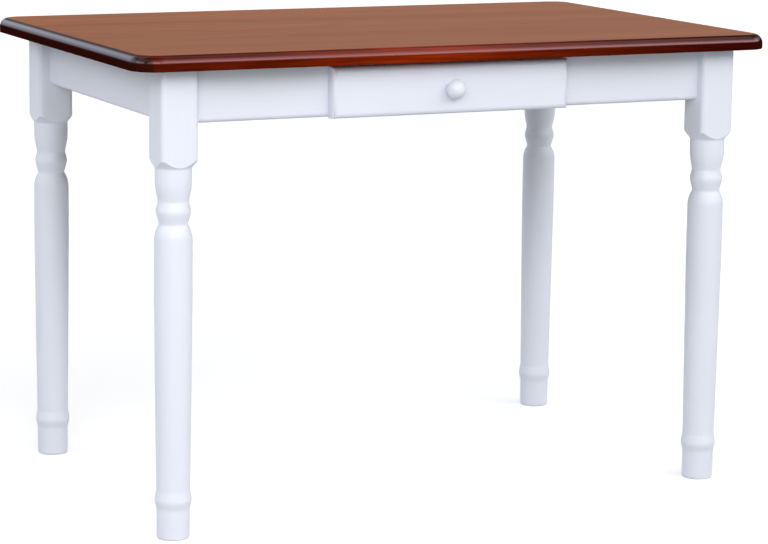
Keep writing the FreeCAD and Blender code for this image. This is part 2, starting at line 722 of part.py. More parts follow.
# ================================================================ drawer
def drawer_front():
    """Overlay board with rounded outer edges, a groove for the panel and holes for dowels and knob."""
    x0 = DRAWER_SHIFT - FRONT_WIDTH / 2
    board = box(x0, x0 + FRONT_WIDTH, FRONT_FACE, BOX_FRONT, FRONT_BOTTOM, FRONT_TOP)
    outer = []
    for edge in board.Edges:
        bounds = edge.BoundBox
        if abs(bounds.YMin - FRONT_FACE) < 1e-6 and abs(bounds.YMax - FRONT_FACE) < 1e-6:
            outer.append(edge)
    board = board.makeFillet(FRONT_ROUND, outer)
    groove_half = BOX_HALF - BOX_WALL + GROOVE_DEPTH
    groove = box(
        DRAWER_SHIFT - groove_half, DRAWER_SHIFT + groove_half,
        BOX_FRONT - GROOVE_DEPTH, BOX_FRONT,
        PANEL_BOTTOM - GROOVE_GAP / 2, PANEL_TOP + GROOVE_GAP / 2,
    )
    back = Vector(0, 1, 0)
    through = rod(KNOB_SCREW_RADIUS + FIT, Vector(DRAWER_SHIFT, FRONT_FACE, KNOB_Z), back, FRONT_THICKNESS)
    recess_start = Vector(DRAWER_SHIFT, BOX_FRONT - KNOB_SCREW_RECESS, KNOB_Z)
    recess = rod(KNOB_SCREW_HEAD_RADIUS + HEAD_PLAY, recess_start, back, KNOB_SCREW_RECESS)
    dowel_holes = front_dowels(FRONT_DOWEL_RADIUS + FIT, DOWEL_END_GAP)
    return cut_all(board, [groove, through, recess] + dowel_holes)


def front_dowels(radius, extra):
    """Dowels between the drawer's front and its sides."""
    length = FRONT_DOWEL_IN_FRONT + FRONT_DOWEL_IN_SIDE + 2 * extra
    high = BOX_TOP - FRONT_DOWEL_MARGIN
    dowels = []
    for side in SIDES.values():
        x = DRAWER_SHIFT + side * (BOX_HALF - BOX_WALL / 2)
        for z in (high, high - FRONT_DOWEL_SPACING):
            start = Vector(x, BOX_FRONT - FRONT_DOWEL_IN_FRONT - extra, z)
            dowels.append(rod(radius, start, Vector(0, 1, 0), length))
    return dowels


def rear_fingers(gap):
    """Ends of the drawer's back that pass through its sides, as blocks with a gap all round."""
    height = (BOX_TOP - PANEL_TOP) / FINGER_COUNT
    fingers = []
    for index in range(1, FINGER_COUNT, 2):
        z0 = PANEL_TOP + index * height + gap
        z1 = PANEL_TOP + (index + 1) * height - gap
        fingers.append(box(
            DRAWER_SHIFT - BOX_HALF, DRAWER_SHIFT + BOX_HALF,
            BOX_BACK - BOX_WALL + gap, BOX_BACK, z0, z1,
        ))
    return fingers


def drawer_side(side):
    """Side board with a groove for the panel, dowel holes in front and finger sockets behind."""
    outer = DRAWER_SHIFT + side * BOX_HALF
    inner = DRAWER_SHIFT + side * (BOX_HALF - BOX_WALL)
    groove_end = DRAWER_SHIFT + side * (BOX_HALF - BOX_WALL + GROOVE_DEPTH)
    board = box(inner, outer, BOX_FRONT, BOX_BACK, BOX_BOTTOM, BOX_TOP)
    groove = box(inner, groove_end, BOX_FRONT, BOX_BACK,
                 PANEL_BOTTOM - GROOVE_GAP / 2, PANEL_TOP + GROOVE_GAP / 2)
    dowel_holes = front_dowels(FRONT_DOWEL_RADIUS + FIT, DOWEL_END_GAP)
    return cut_all(board, [groove] + dowel_holes + rear_fingers(0))


def drawer_back():
    """Back board over the panel, with fingers into both sides."""
    half = BOX_HALF - BOX_WALL
    board = box(DRAWER_SHIFT - half, DRAWER_SHIFT + half, BOX_BACK - BOX_WALL, BOX_BACK, PANEL_TOP, BOX_TOP)
    board = board.fuse(rear_fingers(FINGER_GAP)).removeSplitter()
    return cut_all(board, panel_screws(FIT))


def drawer_bottom():
    """Thin panel in the grooves of the sides and front, screwed under the back."""
    half = BOX_HALF - BOX_WALL + GROOVE_DEPTH - GROOVE_GAP
    front = BOX_FRONT - GROOVE_DEPTH + GROOVE_GAP
    panel = box(DRAWER_SHIFT - half, DRAWER_SHIFT + half, front, BOX_BACK, PANEL_BOTTOM, PANEL_TOP)
    return cut_all(panel, panel_screws(FIT))


def panel_screws(play=0.0):
    """Small countersunk screws up through the panel into the drawer's back."""
    spread = BOX_HALF - PANEL_SCREW_MARGIN
    y = BOX_BACK - BOX_WALL / 2
    screw = countersunk(PANEL_SCREW_RADIUS, PANEL_SCREW_HEAD_RADIUS, PANEL_SCREW_LENGTH, play)
    screws = []
    for x in (-spread, 0, spread):
        screws.append(place(screw, Vector(DRAWER_SHIFT + x, y, PANEL_BOTTOM), Vector(0, 0, 1)))
    return screws


# ================================================================ knob
def knob():
    """Turned knob: a tapered neck, a flared underside and a rounded rim that runs into a dome."""
    rim = (KNOB_RADIUS - KNOB_RIM, KNOB_WIDEST)
    outline = Outline(0, 0)
    outline.line(KNOB_FOOT_RADIUS, 0)
    outline.line(KNOB_NECK_RADIUS, KNOB_NECK)
    # straight flare that touches the rim's circle
    across = rim[0] - KNOB_NECK_RADIUS
    up = rim[1] - KNOB_NECK
    flare = math.sqrt(across ** 2 + up ** 2 - KNOB_RIM ** 2)
    angle = math.atan2(up, across) - math.atan2(KNOB_RIM, flare)
    outline.line(KNOB_NECK_RADIUS + flare * math.cos(angle), KNOB_NECK + flare * math.sin(angle))
    # the rim ends where a dome centred on the axis touches it
    reach = KNOB_LENGTH - KNOB_RIM
    dome = (reach ** 2 - rim[0] ** 2 - rim[1] ** 2) / (2 * (reach - rim[1]))
    away = math.hypot(rim[0], rim[1] - dome)
    outline.arc_about(rim, rim[0] * (1 + KNOB_RIM / away), rim[1] + (rim[1] - dome) * KNOB_RIM / away)
    outline.arc_about((0, dome), 0, KNOB_LENGTH)
    outline.line(0, 0)
    hole = shank_hole(KNOB_SCREW_RADIUS, KNOB_SCREW_DEPTH)
    turned = outline.turned().cut(hole)
    return place(turned, Vector(DRAWER_SHIFT, FRONT_FACE, KNOB_Z), Vector(0, -1, 0))


def knob_screw():
    """Screw from the drawer's inside, its head in the recess, its end in the knob."""
    length = FRONT_THICKNESS - KNOB_SCREW_RECESS + KNOB_SCREW_DEPTH
    screw = pan_head(KNOB_SCREW_RADIUS, KNOB_SCREW_HEAD_RADIUS, KNOB_SCREW_HEAD, length)
    return place(screw, Vector(DRAWER_SHIFT, BOX_FRONT - KNOB_SCREW_RECESS, KNOB_Z), Vector(0, -1, 0))


# ================================================================ assembly
def frame_pieces():
    """Pieces that stand still, by name."""
    pieces = aprons()
    blank = turned_leg()
    top_screws = []
    for side in SIDES.values():
        top_screws += kicker_screw_places(side)
    pieces["table_top"] = table_top(
        bracket_screw_holes() + upward_screws(top_screws, FIT) + upward_screws(stop_screw_places(), FIT)
    )
    for corner in CORNERS:
        pieces["leg_" + corner] = leg_at(corner, blank)
        pieces["corner_block_" + corner] = corner_block(corner)
    for name, side in SIDES.items():
        pieces["runner_" + name] = runner(side)
        pieces["kicker_" + name] = kicker(side)
    pieces["drawer_stop"] = drawer_stop()
    pieces["apron_dowels"] = all_apron_dowels(APRON_DOWEL_RADIUS, APRON_DOWEL_DEPTH)
    pieces["runner_dowels"] = runner_dowels(RUNNER_DOWEL_RADIUS, RUNNER_DOWEL_DEPTH)
    pieces["corner_block_screws"] = block_screws()
    pieces["hanger_bolts"] = hanger_bolts()
    pieces["bolt_washers"] = on_bolts(washer(), BLOCK_BACK)
    pieces["bolt_nuts"] = on_bolts(nut(), BLOCK_BACK + WASHER_THICKNESS)
    pieces["top_brackets"] = top_brackets()
    pieces["bracket_screws"] = bracket_screws()
    pieces["kicker_screws"] = upward_screws(top_screws)
    pieces["stop_screws"] = upward_screws(stop_screw_places())
    return pieces


def drawer_pieces():
    """Pieces that slide, by name."""
    return {
        "drawer_front": drawer_front(),
        "drawer_side_left": drawer_side(SIDES["left"]),
        "drawer_side_right": drawer_side(SIDES["right"]),
        "drawer_back": drawer_back(),
        "drawer_bottom": drawer_bottom(),
        "drawer_front_dowels": front_dowels(FRONT_DOWEL_RADIUS, 0),
        "drawer_bottom_screws": panel_screws(),
        "knob": knob(),
        "knob_screw": knob_screw(),
    }


def main():
    os.makedirs("parts", exist_ok=True)
    pieces = frame_pieces()
    pieces.update(drawer_pieces())
    for name, piece in pieces.items():
        shape = Part.makeCompound(piece) if isinstance(piece, list) else piece
        shape.exportStep(os.path.join("parts", name + ".step"))
        print(name, len(shape.Solids), "solid(s)", "valid" if shape.isValid() else "NOT VALID")


main()
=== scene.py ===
"""Looks of a solid pine kitchen table: stained top, white painted frame and one drawer.

Lengths are metres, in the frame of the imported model: +X right along the table's
length, +Y to the back, +Z up, with the origin on the floor under the top's middle.
"""

import logging
import math
from dataclasses import dataclass
from enum import Enum
from typing import Any, Callable, ClassVar, Iterable, Sequence

import bmesh
import bpy
from bmesh.types import BMEdge, BMesh, BMFace
from mathutils import Matrix, Vector


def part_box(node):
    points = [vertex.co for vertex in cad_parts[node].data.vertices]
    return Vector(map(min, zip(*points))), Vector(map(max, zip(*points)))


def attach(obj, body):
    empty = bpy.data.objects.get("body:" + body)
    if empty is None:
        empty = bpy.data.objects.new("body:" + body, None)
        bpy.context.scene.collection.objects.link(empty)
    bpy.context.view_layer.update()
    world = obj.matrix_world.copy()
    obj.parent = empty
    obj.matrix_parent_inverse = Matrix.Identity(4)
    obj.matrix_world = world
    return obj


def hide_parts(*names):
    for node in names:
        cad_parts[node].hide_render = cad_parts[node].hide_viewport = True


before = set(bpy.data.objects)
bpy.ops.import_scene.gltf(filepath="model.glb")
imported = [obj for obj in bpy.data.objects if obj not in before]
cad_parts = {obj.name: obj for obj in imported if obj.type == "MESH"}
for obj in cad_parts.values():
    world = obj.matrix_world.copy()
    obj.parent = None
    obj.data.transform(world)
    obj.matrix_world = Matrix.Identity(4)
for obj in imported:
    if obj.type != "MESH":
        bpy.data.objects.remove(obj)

LOG = logging.getLogger("kitchen_table")
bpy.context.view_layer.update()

Triple = tuple[float, float, float]
Colour = tuple[float, float, float]
Span = tuple[float, float, float, float]   # a low and a high value, and what they become
Stops = tuple[tuple[float, float], ...]
Patch = tuple[Triple, float, float]
Socket = bpy.types.NodeSocket

MM = 0.001
RIGHT_ANGLE = math.pi / 2
FULL_TURN = 2 * math.pi
MERGE = 1e-6              # points closer than this are one
SOFT_EDGE = 0.5 * MM      # rounding that sanding leaves on a cut edge
SOFT_STEPS = 2            # facets across such an edge
ROUND_STEPS = 8           # facets across a rounding
TURNED_STEPS = 96         # facets round a turned piece
SHARP_ANGLE = math.radians(40)   # shading breaks over edges sharper than this
CRISP_ANGLE = math.radians(55)   # and sanding rounds them from here
FLAT_ANGLE = math.radians(0.5)   # faces closer than this lie in one plane
END_SHARE = 0.02          # share of a fastener's length that counts as its end


class Body(Enum):
    """The two bodies that pieces ride on."""

    TABLE = "table"
    DRAWER = "drawer"


class Slot(Enum):
    """Material slots of the record."""

    TOP = "stained_pine"
    PAINT = "white_paint"
    PINE = "bare_pine"
    DOWEL = "beech"
    PANEL = "hardboard"
    STEEL = "zinc_steel"


class Grain(Enum):
    """Direction of a board's fibres; the value is the turn that lays it along X."""

    LENGTH = (0.0, 0.0, 0.0)
    DEPTH = (0.0, 0.0, -RIGHT_ANGLE)
    HEIGHT = (0.0, RIGHT_ANGLE, 0.0)
    RISING = (0.0, 0.0, -RIGHT_ANGLE / 2)
    FALLING = (0.0, 0.0, RIGHT_ANGLE / 2)


# ---------------------------------------------------------------- shader writing
class Wiring:
    """A node tree under construction."""

    def __init__(self, tree: bpy.types.NodeTree) -> None:
        """Works on one node tree."""
        self.nodes = tree.nodes
        self.links = tree.links

    def feed(self, socket: Socket, value: Any) -> None:
        """Links a socket to an input, or writes a plain value on it.

        Args:
            socket: the input.
            value: output of another node, or a plain value.
        """
        if isinstance(value, bpy.types.NodeSocket):
            self.links.new(value, socket)
        else:
            socket.default_value = value

    def node(self, kind: str, inputs: dict[Any, Any], **settings: Any) -> bpy.types.Node:
        """Adds a node.

        Args:
            kind: Blender's name of the node.
            inputs: value or socket for each input, by name or number.
            settings: the node's own properties.

        Returns:
            The new node.
        """
        made = self.nodes.new(kind)
        for name, value in settings.items():
            setattr(made, name, value)
        for key, value in inputs.items():
            self.feed(made.inputs[key], value)
        return made

    def math(self, operation: str, *values: Any) -> Socket:
        """Adds a Math node on up to three values and returns its result."""
        inputs = dict(enumerate(values))
        return self.node("ShaderNodeMath", inputs, operation=operation).outputs[0]

    def vector(self, operation: str, *values: Any) -> Socket:
        """Adds a Vector Math node and returns its first result."""
        inputs = dict(enumerate(values))
        return self.node("ShaderNodeVectorMath", inputs, operation=operation).outputs[0]

    def scaled(self, vector: Socket, factor: Any) -> Socket:
        """Multiplies a vector or colour by a number."""
        return self.node("ShaderNodeVectorMath", {0: vector, 3: factor}, operation="SCALE").outputs[0]

    def part(self, vector: Socket, axis: str) -> Socket:
        """Takes a vector's part along an axis."""
        return self.node("ShaderNodeSeparateXYZ", {0: vector}).outputs[axis]

    def noise(self, vector: Socket, scale: float, detail: float = 2.0) -> bpy.types.Node:
        """Adds a 3-D noise on a vector."""
        return self.node("ShaderNodeTexNoise", {"Vector": vector, "Scale": scale, "Detail": detail})

    def stretched_noise(self, vector: Socket, stretch: Triple, detail: float = 2.0) -> Socket:
        """Noise with its own scale along each axis, from 0 to 1."""
        return self.noise(self.vector("MULTIPLY", vector, stretch), 1.0, detail).outputs["Fac"]

    def mix(self, factor: Any, first: Any, second: Any) -> Socket:
        """Mixes two colours and returns the result."""
        inputs = {0: factor, 6: first, 7: second}
        return self.node("ShaderNodeMix", inputs, data_type="RGBA").outputs[2]

    def span(self, value: Socket, limits: Span) -> Socket:
        """Maps a stretch of values smoothly to another, clamped at both ends."""
        inputs = dict(enumerate((value, *limits)))
        return self.node("ShaderNodeMapRange", inputs, interpolation_type="SMOOTHSTEP").outputs[0]

    def ramp(self, value: Socket, stops: Stops) -> Socket:
        """Turns a value into a grey level.

        Args:
            value: from 0 to 1.
            stops: value and grey level of each stop.

        Returns:
            The grey level.
        """
        made = self.node("ShaderNodeValToRGB", {0: value})
        elements = made.color_ramp.elements
        while len(elements) < len(stops):
            elements.new(0.5)
        for element, (place, grey) in zip(elements, stops):
            element.position = place
            element.color = (grey, grey, grey, 1.0)
        return made.outputs[0]

    def bump(self, height: Socket, distance: float, strength: float, under: Any = None) -> Socket:
        """Adds a bump.

        Args:
            height: how high the surface stands, from 0 to 1.
            distance: height of 1.
            strength: share of the bump that shows.
            under: normal of another bump, which this one lies over.

        Returns:
            The new normal.
        """
        inputs = {"Height": height, "Distance": distance, "Strength": strength}
        if under is not None:
            inputs["Normal"] = under
        return self.node("ShaderNodeBump", inputs).outputs[0]


class Shader(Wiring):
    """A material under construction, with its Principled surface."""

    def __init__(self, name: str) -> None:
        """Starts an empty material.

        Args:
            name: the material's name.
        """
        self.material = bpy.data.materials.new(name)
        self.material.use_nodes = True
        super().__init__(self.material.node_tree)
        self.surface = self.nodes["Principled BSDF"]

    def place(self) -> Socket:
        """Object coordinates."""
        return self.node("ShaderNodeTexCoord", {}).outputs["Object"]

    def normal(self) -> Socket:
        """Direction in which the surface looks."""
        return self.node("ShaderNodeTexCoord", {}).outputs["Normal"]

    def finish(self, **inputs: Any) -> None:
        """Feeds the surface; a name's underscores stand for spaces."""
        for name, value in inputs.items():
            self.feed(self.surface.inputs[name.replace("_", " ")], value)


def colour(values: Colour) -> tuple[float, float, float, float]:
    """Colour with its opacity."""
    return (*values, 1.0)


# ---------------------------------------------------------------- finishes
@dataclass(frozen=True)
class Rings:
    """Growth rings of pine, cut from one place in the log."""

    width: float = 3.6 * MM      # from one ring to the next
    pith: tuple[float, float] = (0.03, -0.10)   # log's centre across the grain
    wander: float = 0.022        # how far the rings stray along the board
    ripple: float = 0.5          # unevenness of each ring, in rings
    # noise along and across the grain, per metre
    straying: Triple = (1.6, 4.0, 4.0)
    rippling: Triple = (3.0, 45.0, 45.0)
    late_wood: Stops = ((0.0, 0.0), (0.4, 0.08), (0.72, 0.45), (0.9, 1.0), (1.0, 0.0))

    def lay(self, shader: Shader, along: Socket) -> Socket:
        """Late wood of the rings.

        Args:
            shader: material to write in.
            along: coordinates with the grain along X.

        Returns:
            0 in early wood, 1 in late wood.
        """
        stray = shader.noise(shader.vector("MULTIPLY", along, self.straying), 1.0, 1.0).outputs["Color"]
        centred = shader.vector("SUBTRACT", stray, (0.5, 0.5, 0.5))
        place = shader.vector("ADD", along, shader.scaled(centred, self.wander * 2))
        across = shader.vector("SUBTRACT", place, (0.0, *self.pith))
        across = shader.vector("MULTIPLY", across, (0.0, 1.0, 1.0))
        reach = shader.node("ShaderNodeVectorMath", {0: across}, operation="LENGTH").outputs["Value"]
        count = shader.math("DIVIDE", reach, self.width)
        ripple = shader.stretched_noise(along, self.rippling)
        count = shader.math("ADD", count, shader.math("MULTIPLY", ripple, self.ripple))
        return shader.ramp(shader.math("FRACT", count), self.late_wood)


@dataclass(frozen=True)
class Finish:
    """A finish; one with grain is written once for each direction of its fibres."""

    title: ClassVar[str]             # name of the material
    grained: ClassVar[bool] = True

    def material(self, grain: Grain) -> bpy.types.Material:
        """Writes the material for one direction of grain.

        Args:
            grain: direction of the fibres.

        Returns:
            The material.
        """
        shader = Shader(f"{self.title}_{grain.name.lower()}" if self.grained else self.title)
        place = shader.place()
        if self.grained:
            place = shader.node("ShaderNodeMapping", {"Vector": place, "Rotation": grain.value}).outputs[0]
        self.dress(shader, place)
        return shader.material

    def dress(self, shader: Shader, along: Socket) -> None:
        """Writes the finish into an empty material."""
        raise NotImplementedError(self.title)


@dataclass(frozen=True)
class StainedPine(Finish):
    """Glued pine staves under red-brown stain and glossy lacquer, with the grain along X."""

    title: ClassVar[str] = "stained_pine"
    grained: ClassVar[bool] = False
    stave: float = 87.5 * MM     # width of a stave
    board: float = 1104 * MM     # length over which the edge's warmth changes
    stave_shift: Triple = (3.0, 0.16, 0.09)   # how far apart in the log two staves may be
    rings: Rings = Rings(width=5.2 * MM, pith=(0.05, 0.60), wander=0.030)
    # noise along and across the grain, per metre
    fibres: Triple = (7.0, 420.0, 420.0)
    clouds: Triple = (2.2, 14.0, 14.0)
    bands: Triple = (1.4, 21.0, 21.0)
    streaks: Triple = (9.0, 60.0, 260.0)
    # brightness and shares that follow from noises, rings and the way a face looks
    stave_tone: tuple[float, float] = (0.16, 0.92)   # spread and darkest
    fibre_tone: Span = (0.25, 0.75, 0.93, 1.07)
    band_tone: Span = (0.3, 0.7, 0.94, 1.06)
    late_share: Span = (0.3, 0.7, 0.25, 0.85)
    streak_share: Span = (0.35, 0.65, 0.6, 1.2)
    end_share: Span = (0.22, 0.50, 0.0, 1.0)
    flat_share: Span = (0.985, 0.9995, 0.0, 1.0)
    roughness: Span = (0.3, 0.7, 0.34, 0.42)
    late_relief: float = -0.5    # late wood lies low
    relief: tuple[float, float] = (0.06 * MM, 0.35)  # height and strength
    lacquer_roughness: float = 0.10
    lacquer_ior: float = 1.5
    flat_early: Colour = (0.420, 0.128, 0.038)
    flat_late: Colour = (0.310, 0.088, 0.023)
    edge_early: Colour = (0.040, 0.0024, 0.0012)
    edge_late: Colour = (0.021, 0.0015, 0.0010)
    warm: Colour = (0.290, 0.025, 0.0022)
    end_grain: Colour = (0.030, 0.0045, 0.0025)
    # painted highlight: a lighter pink that stands in for the lacquer's highlight on the rounding
    pink_highlight: Colour = (0.220, 0.022, 0.030)
    # share of warm stain along the board's edge, from left to right
    warmth: Stops = (
        (0.0, 0.22), (0.20, 0.24), (0.44, 0.92), (0.54, 0.56), (0.64, 0.39), (0.80, 0.15), (0.95, 0.0),
    )
    # shares of lacquer, and of the painted pink highlight, on upright, sloping and flat faces
    lacquer: Stops = ((0.0, 0.0), (0.21, 0.0), (0.35, 1.0), (0.97, 1.0), (1.0, 0.45))
    pink_highlight_share: Stops = ((0.0, 0.0), (0.22, 0.0), (0.34, 0.75), (0.42, 0.75), (0.58, 0.12), (0.90, 0.0))

    def staves(self, shader: Shader, place: Socket) -> tuple[Socket, Socket]:
        """Moves each stave to another place in the log.

        Args:
            shader: material to write in.
            place: object coordinates.

        Returns:
            The moved coordinates, and a number from 0 to 1 for each stave.
        """
        number = shader.math("FLOOR", shader.math("DIVIDE", shader.part(place, "Y"), self.stave))
        chance = shader.node("ShaderNodeTexWhiteNoise", {"W": number}, noise_dimensions="1D")
        shift = shader.vector("MULTIPLY", chance.outputs["Color"], self.stave_shift)
        return shader.vector("ADD", place, shift), chance.outputs["Value"]

    def tone(self, shader: Shader, along: Socket, fibres: Socket, chance: Socket) -> Socket:
        """Brightness that changes from stave to stave, in bands and with the fibres.

        Args:
            shader: material to write in.
            along: coordinates in the log.
            fibres: noise of the fibres.
            chance: number from 0 to 1 for each stave.

        Returns:
            A factor near 1.
        """
        bands = shader.stretched_noise(along, self.bands, 1.5)
        by_stave = shader.math("MULTIPLY_ADD", chance, *self.stave_tone)
        by_fibre = shader.math("MULTIPLY", by_stave, shader.span(fibres, self.fibre_tone))
        return shader.math("MULTIPLY", by_fibre, shader.span(bands, self.band_tone))

    def edge(self, shader: Shader, place: Socket, late: Socket, upwards: Socket) -> Socket:
        """Dark stain of the board's edge, warm near the middle, with a painted highlight: lighter pink on the
        rounding where the lacquer's highlight falls.

        Args:
            shader: material to write in.
            place: object coordinates.
            late: late wood of the rings.
            upwards: how far a face looks up.

        Returns:
            The stain's colour.
        """
        stain = shader.mix(late, colour(self.edge_early), colour(self.edge_late))
        reach = shader.math("MULTIPLY_ADD", shader.part(place, "X"), 1 / self.board, 0.5)
        streaks = shader.span(shader.stretched_noise(place, self.streaks, 3.0), self.streak_share)
        warm = shader.math("MULTIPLY", shader.ramp(reach, self.warmth), streaks)
        stain = shader.mix(warm, stain, colour(self.warm))
        # painted highlight: lighter pink where the lacquer's highlight falls on the rounding
        stain = shader.mix(shader.ramp(upwards, self.pink_highlight_share), stain, colour(self.pink_highlight))
        sideways = shader.math("ABSOLUTE", shader.part(shader.normal(), "X"))
        return shader.mix(shader.span(sideways, self.end_share), stain, colour(self.end_grain))

    def dress(self, shader: Shader, along: Socket) -> None:
        """Writes the finish.

        Args:
            shader: the empty material.
            along: coordinates with the grain along X.
        """
        in_log, chance = self.staves(shader, along)
        upwards = shader.part(shader.normal(), "Z")
        late = self.rings.lay(shader, in_log)
        fibres = shader.stretched_noise(in_log, self.fibres, 3.0)
        clouds = shader.stretched_noise(in_log, self.clouds)
        flat_late = shader.math("MULTIPLY", late, shader.span(clouds, self.late_share))
        flat = shader.mix(flat_late, colour(self.flat_early), colour(self.flat_late))
        edge = self.edge(shader, along, late, upwards)
        base = shader.mix(shader.span(upwards, self.flat_share), edge, flat)
        relief = shader.math("MULTIPLY_ADD", late, self.late_relief, fibres)
        shader.finish(
            Base_Color=shader.scaled(base, self.tone(shader, in_log, fibres, chance)),
            Roughness=shader.span(clouds, self.roughness),
            Normal=shader.bump(relief, *self.relief), Specular_IOR_Level=0.0,
            Coat_Weight=shader.ramp(upwards, self.lacquer), Coat_Roughness=self.lacquer_roughness,
            Coat_IOR=self.lacquer_ior,
        )


@dataclass(frozen=True)
class WhitePaint(Finish):
    """Satin white paint over pine, with the grain just telling through it."""

    title: ClassVar[str] = "white_paint"
    tint: Colour = (0.800, 0.838, 0.930)
    shade: Colour = (0.775, 0.812, 0.905)
    rings: Rings = Rings(pith=(0.21, 0.34))
    # noise along and across the grain, per metre
    fibres: Triple = (9.0, 380.0, 380.0)
    clouds: Triple = (5.0, 11.0, 11.0)
    peel: float = 620.0          # unevenness of the paint
    # shares that follow from them
    late_share: float = 0.30
    cloud_share: Span = (0.3, 0.7, 0.0, 0.6)
    roughness: Span = (0.3, 0.7, 0.36, 0.44)
    gloss: float = 0.45          # level of the plain reflection
    ring_relief: float = 0.6
    fibre_relief: float = 0.7
    relief: tuple[float, float] = (0.10 * MM, 0.45)  # height and strength
    peel_relief: tuple[float, float] = (0.03 * MM, 0.35)

    def dress(self, shader: Shader, along: Socket) -> None:
        """Writes the finish.

        Args:
            shader: the empty material.
            along: coordinates with the grain along X.
        """
        late = self.rings.lay(shader, along)
        fibres = shader.stretched_noise(along, self.fibres, 3.0)
        clouds = shader.stretched_noise(along, self.clouds)
        peel = shader.noise(along, self.peel, 1.0).outputs["Fac"]
        tone = shader.math("MULTIPLY_ADD", late, self.late_share, shader.span(clouds, self.cloud_share))
        relief = shader.math("MULTIPLY", fibres, self.fibre_relief)
        relief = shader.math("MULTIPLY_ADD", late, self.ring_relief, relief)
        normal = shader.bump(relief, *self.relief)
        shader.finish(
            Base_Color=shader.mix(tone, colour(self.tint), colour(self.shade)),
            Roughness=shader.span(clouds, self.roughness),
            Normal=shader.bump(peel, *self.peel_relief, normal), Specular_IOR_Level=self.gloss,
        )


@dataclass(frozen=True)
class BarePine(Finish):
    """Planed pine with rings, fibres and a few knots."""

    title: ClassVar[str] = "bare_pine"
    early: Colour = (0.720, 0.520, 0.300)
    late: Colour = (0.500, 0.270, 0.110)
    knot: Colour = (0.160, 0.062, 0.024)
    rings: Rings = Rings(width=3.2 * MM, pith=(0.06, 0.58), wander=0.03)
    # noise along and across the grain, per metre
    fibres: Triple = (10.0, 520.0, 520.0)
    clouds: Triple = (3.0, 16.0, 16.0)
    knot_cells: Triple = (5.0, 9.0, 9.0)
    knot_edge: Triple = (150.0, 150.0, 150.0)
    # shares and brightness that follow from them and from the rings
    late_share: float = 0.72
    knot_ragged: float = 0.03    # how far a knot's edge strays
    knot_share: Span = (0.055, 0.080, 1.0, 0.0)
    fibre_tone: Span = (0.25, 0.75, 0.90, 1.08)
    cloud_tone: Span = (0.3, 0.7, 0.92, 1.05)
    roughness: Span = (0.0, 1.0, 0.62, 0.48)
    gloss: float = 0.35          # level of the plain reflection
    ring_relief: float = 0.8
    relief: tuple[float, float] = (0.12 * MM, 0.6)   # height and strength

    def knots(self, shader: Shader, along: Socket) -> Socket:
        """Round knots, some way apart.

        Args:
            shader: material to write in.
            along: coordinates with the grain along X.

        Returns:
            1 in a knot, 0 outside.
        """
        cells = shader.vector("MULTIPLY", along, self.knot_cells)
        distance = shader.node("ShaderNodeTexVoronoi", {"Vector": cells, "Scale": 1.0}).outputs["Distance"]
        edge = shader.stretched_noise(along, self.knot_edge)
        reach = shader.math("MULTIPLY_ADD", edge, self.knot_ragged, distance)
        return shader.span(reach, self.knot_share)

    def dress(self, shader: Shader, along: Socket) -> None:
        """Writes the finish.

        Args:
            shader: the empty material.
            along: coordinates with the grain along X.
        """
        late = self.rings.lay(shader, along)
        fibres = shader.stretched_noise(along, self.fibres, 3.0)
        clouds = shader.span(shader.stretched_noise(along, self.clouds), self.cloud_tone)
        share = shader.math("MULTIPLY", late, self.late_share)
        base = shader.mix(share, colour(self.early), colour(self.late))
        base = shader.mix(self.knots(shader, along), base, colour(self.knot))
        tone = shader.math("MULTIPLY", shader.span(fibres, self.fibre_tone), clouds)
        relief = shader.math("MULTIPLY_ADD", late, self.ring_relief, fibres)
        shader.finish(
            Base_Color=shader.scaled(base, tone), Roughness=shader.span(late, self.roughness),
            Normal=shader.bump(relief, *self.relief), Specular_IOR_Level=self.gloss,
        )


@dataclass(frozen=True)
class Beech(Finish):
    """Pale beech with short dark flecks, for dowels."""

    title: ClassVar[str] = "beech"
    ground: Colour = (0.560, 0.370, 0.220)
    fleck: Colour = (0.330, 0.180, 0.090)
    flecks: Triple = (60.0, 900.0, 900.0)   # noise along and across the grain, per metre
    fleck_share: Span = (0.55, 0.7, 0.0, 0.8)
    roughness: float = 0.55
    relief: tuple[float, float] = (0.08 * MM, 0.5)   # height and strength

    def dress(self, shader: Shader, along: Socket) -> None:
        """Writes the finish.

        Args:
            shader: the empty material.
            along: coordinates with the grain along X.
        """
        flecks = shader.stretched_noise(along, self.flecks)
        share = shader.span(flecks, self.fleck_share)
        shader.finish(
            Base_Color=shader.mix(share, colour(self.ground), colour(self.fleck)),
            Roughness=self.roughness, Normal=shader.bump(flecks, *self.relief),
        )


@dataclass(frozen=True)
class Hardboard(Finish):
    """Pressed brown board, smooth and slightly mottled, with its fibres every way."""

    title: ClassVar[str] = "hardboard"
    grained: ClassVar[bool] = False
    ground: Colour = (0.290, 0.165, 0.085)
    fibre: Colour = (0.180, 0.095, 0.045)
    fibres: float = 700.0        # noises, per metre
    clouds: float = 28.0
    # how much each tells in the mottle
    fibre_weight: float = 0.7
    cloud_weight: float = 0.3
    fibre_share: Span = (0.35, 0.65, 0.0, 1.0)
    roughness: float = 0.42
    relief: tuple[float, float] = (0.05 * MM, 0.5)   # height and strength

    def dress(self, shader: Shader, along: Socket) -> None:
        """Writes the finish.

        Args:
            shader: the empty material.
            along: object coordinates.
        """
        fibres = shader.noise(along, self.fibres, 6.0).outputs["Fac"]
        clouds = shader.noise(along, self.clouds, 3.0).outputs["Fac"]
        mottle = shader.math("MULTIPLY", clouds, self.cloud_weight)
        mottle = shader.math("MULTIPLY_ADD", fibres, self.fibre_weight, mottle)
        share = shader.span(mottle, self.fibre_share)
        shader.finish(
            Base_Color=shader.mix(share, colour(self.ground), colour(self.fibre)),
            Roughness=self.roughness, Normal=shader.bump(fibres, *self.relief),
        )


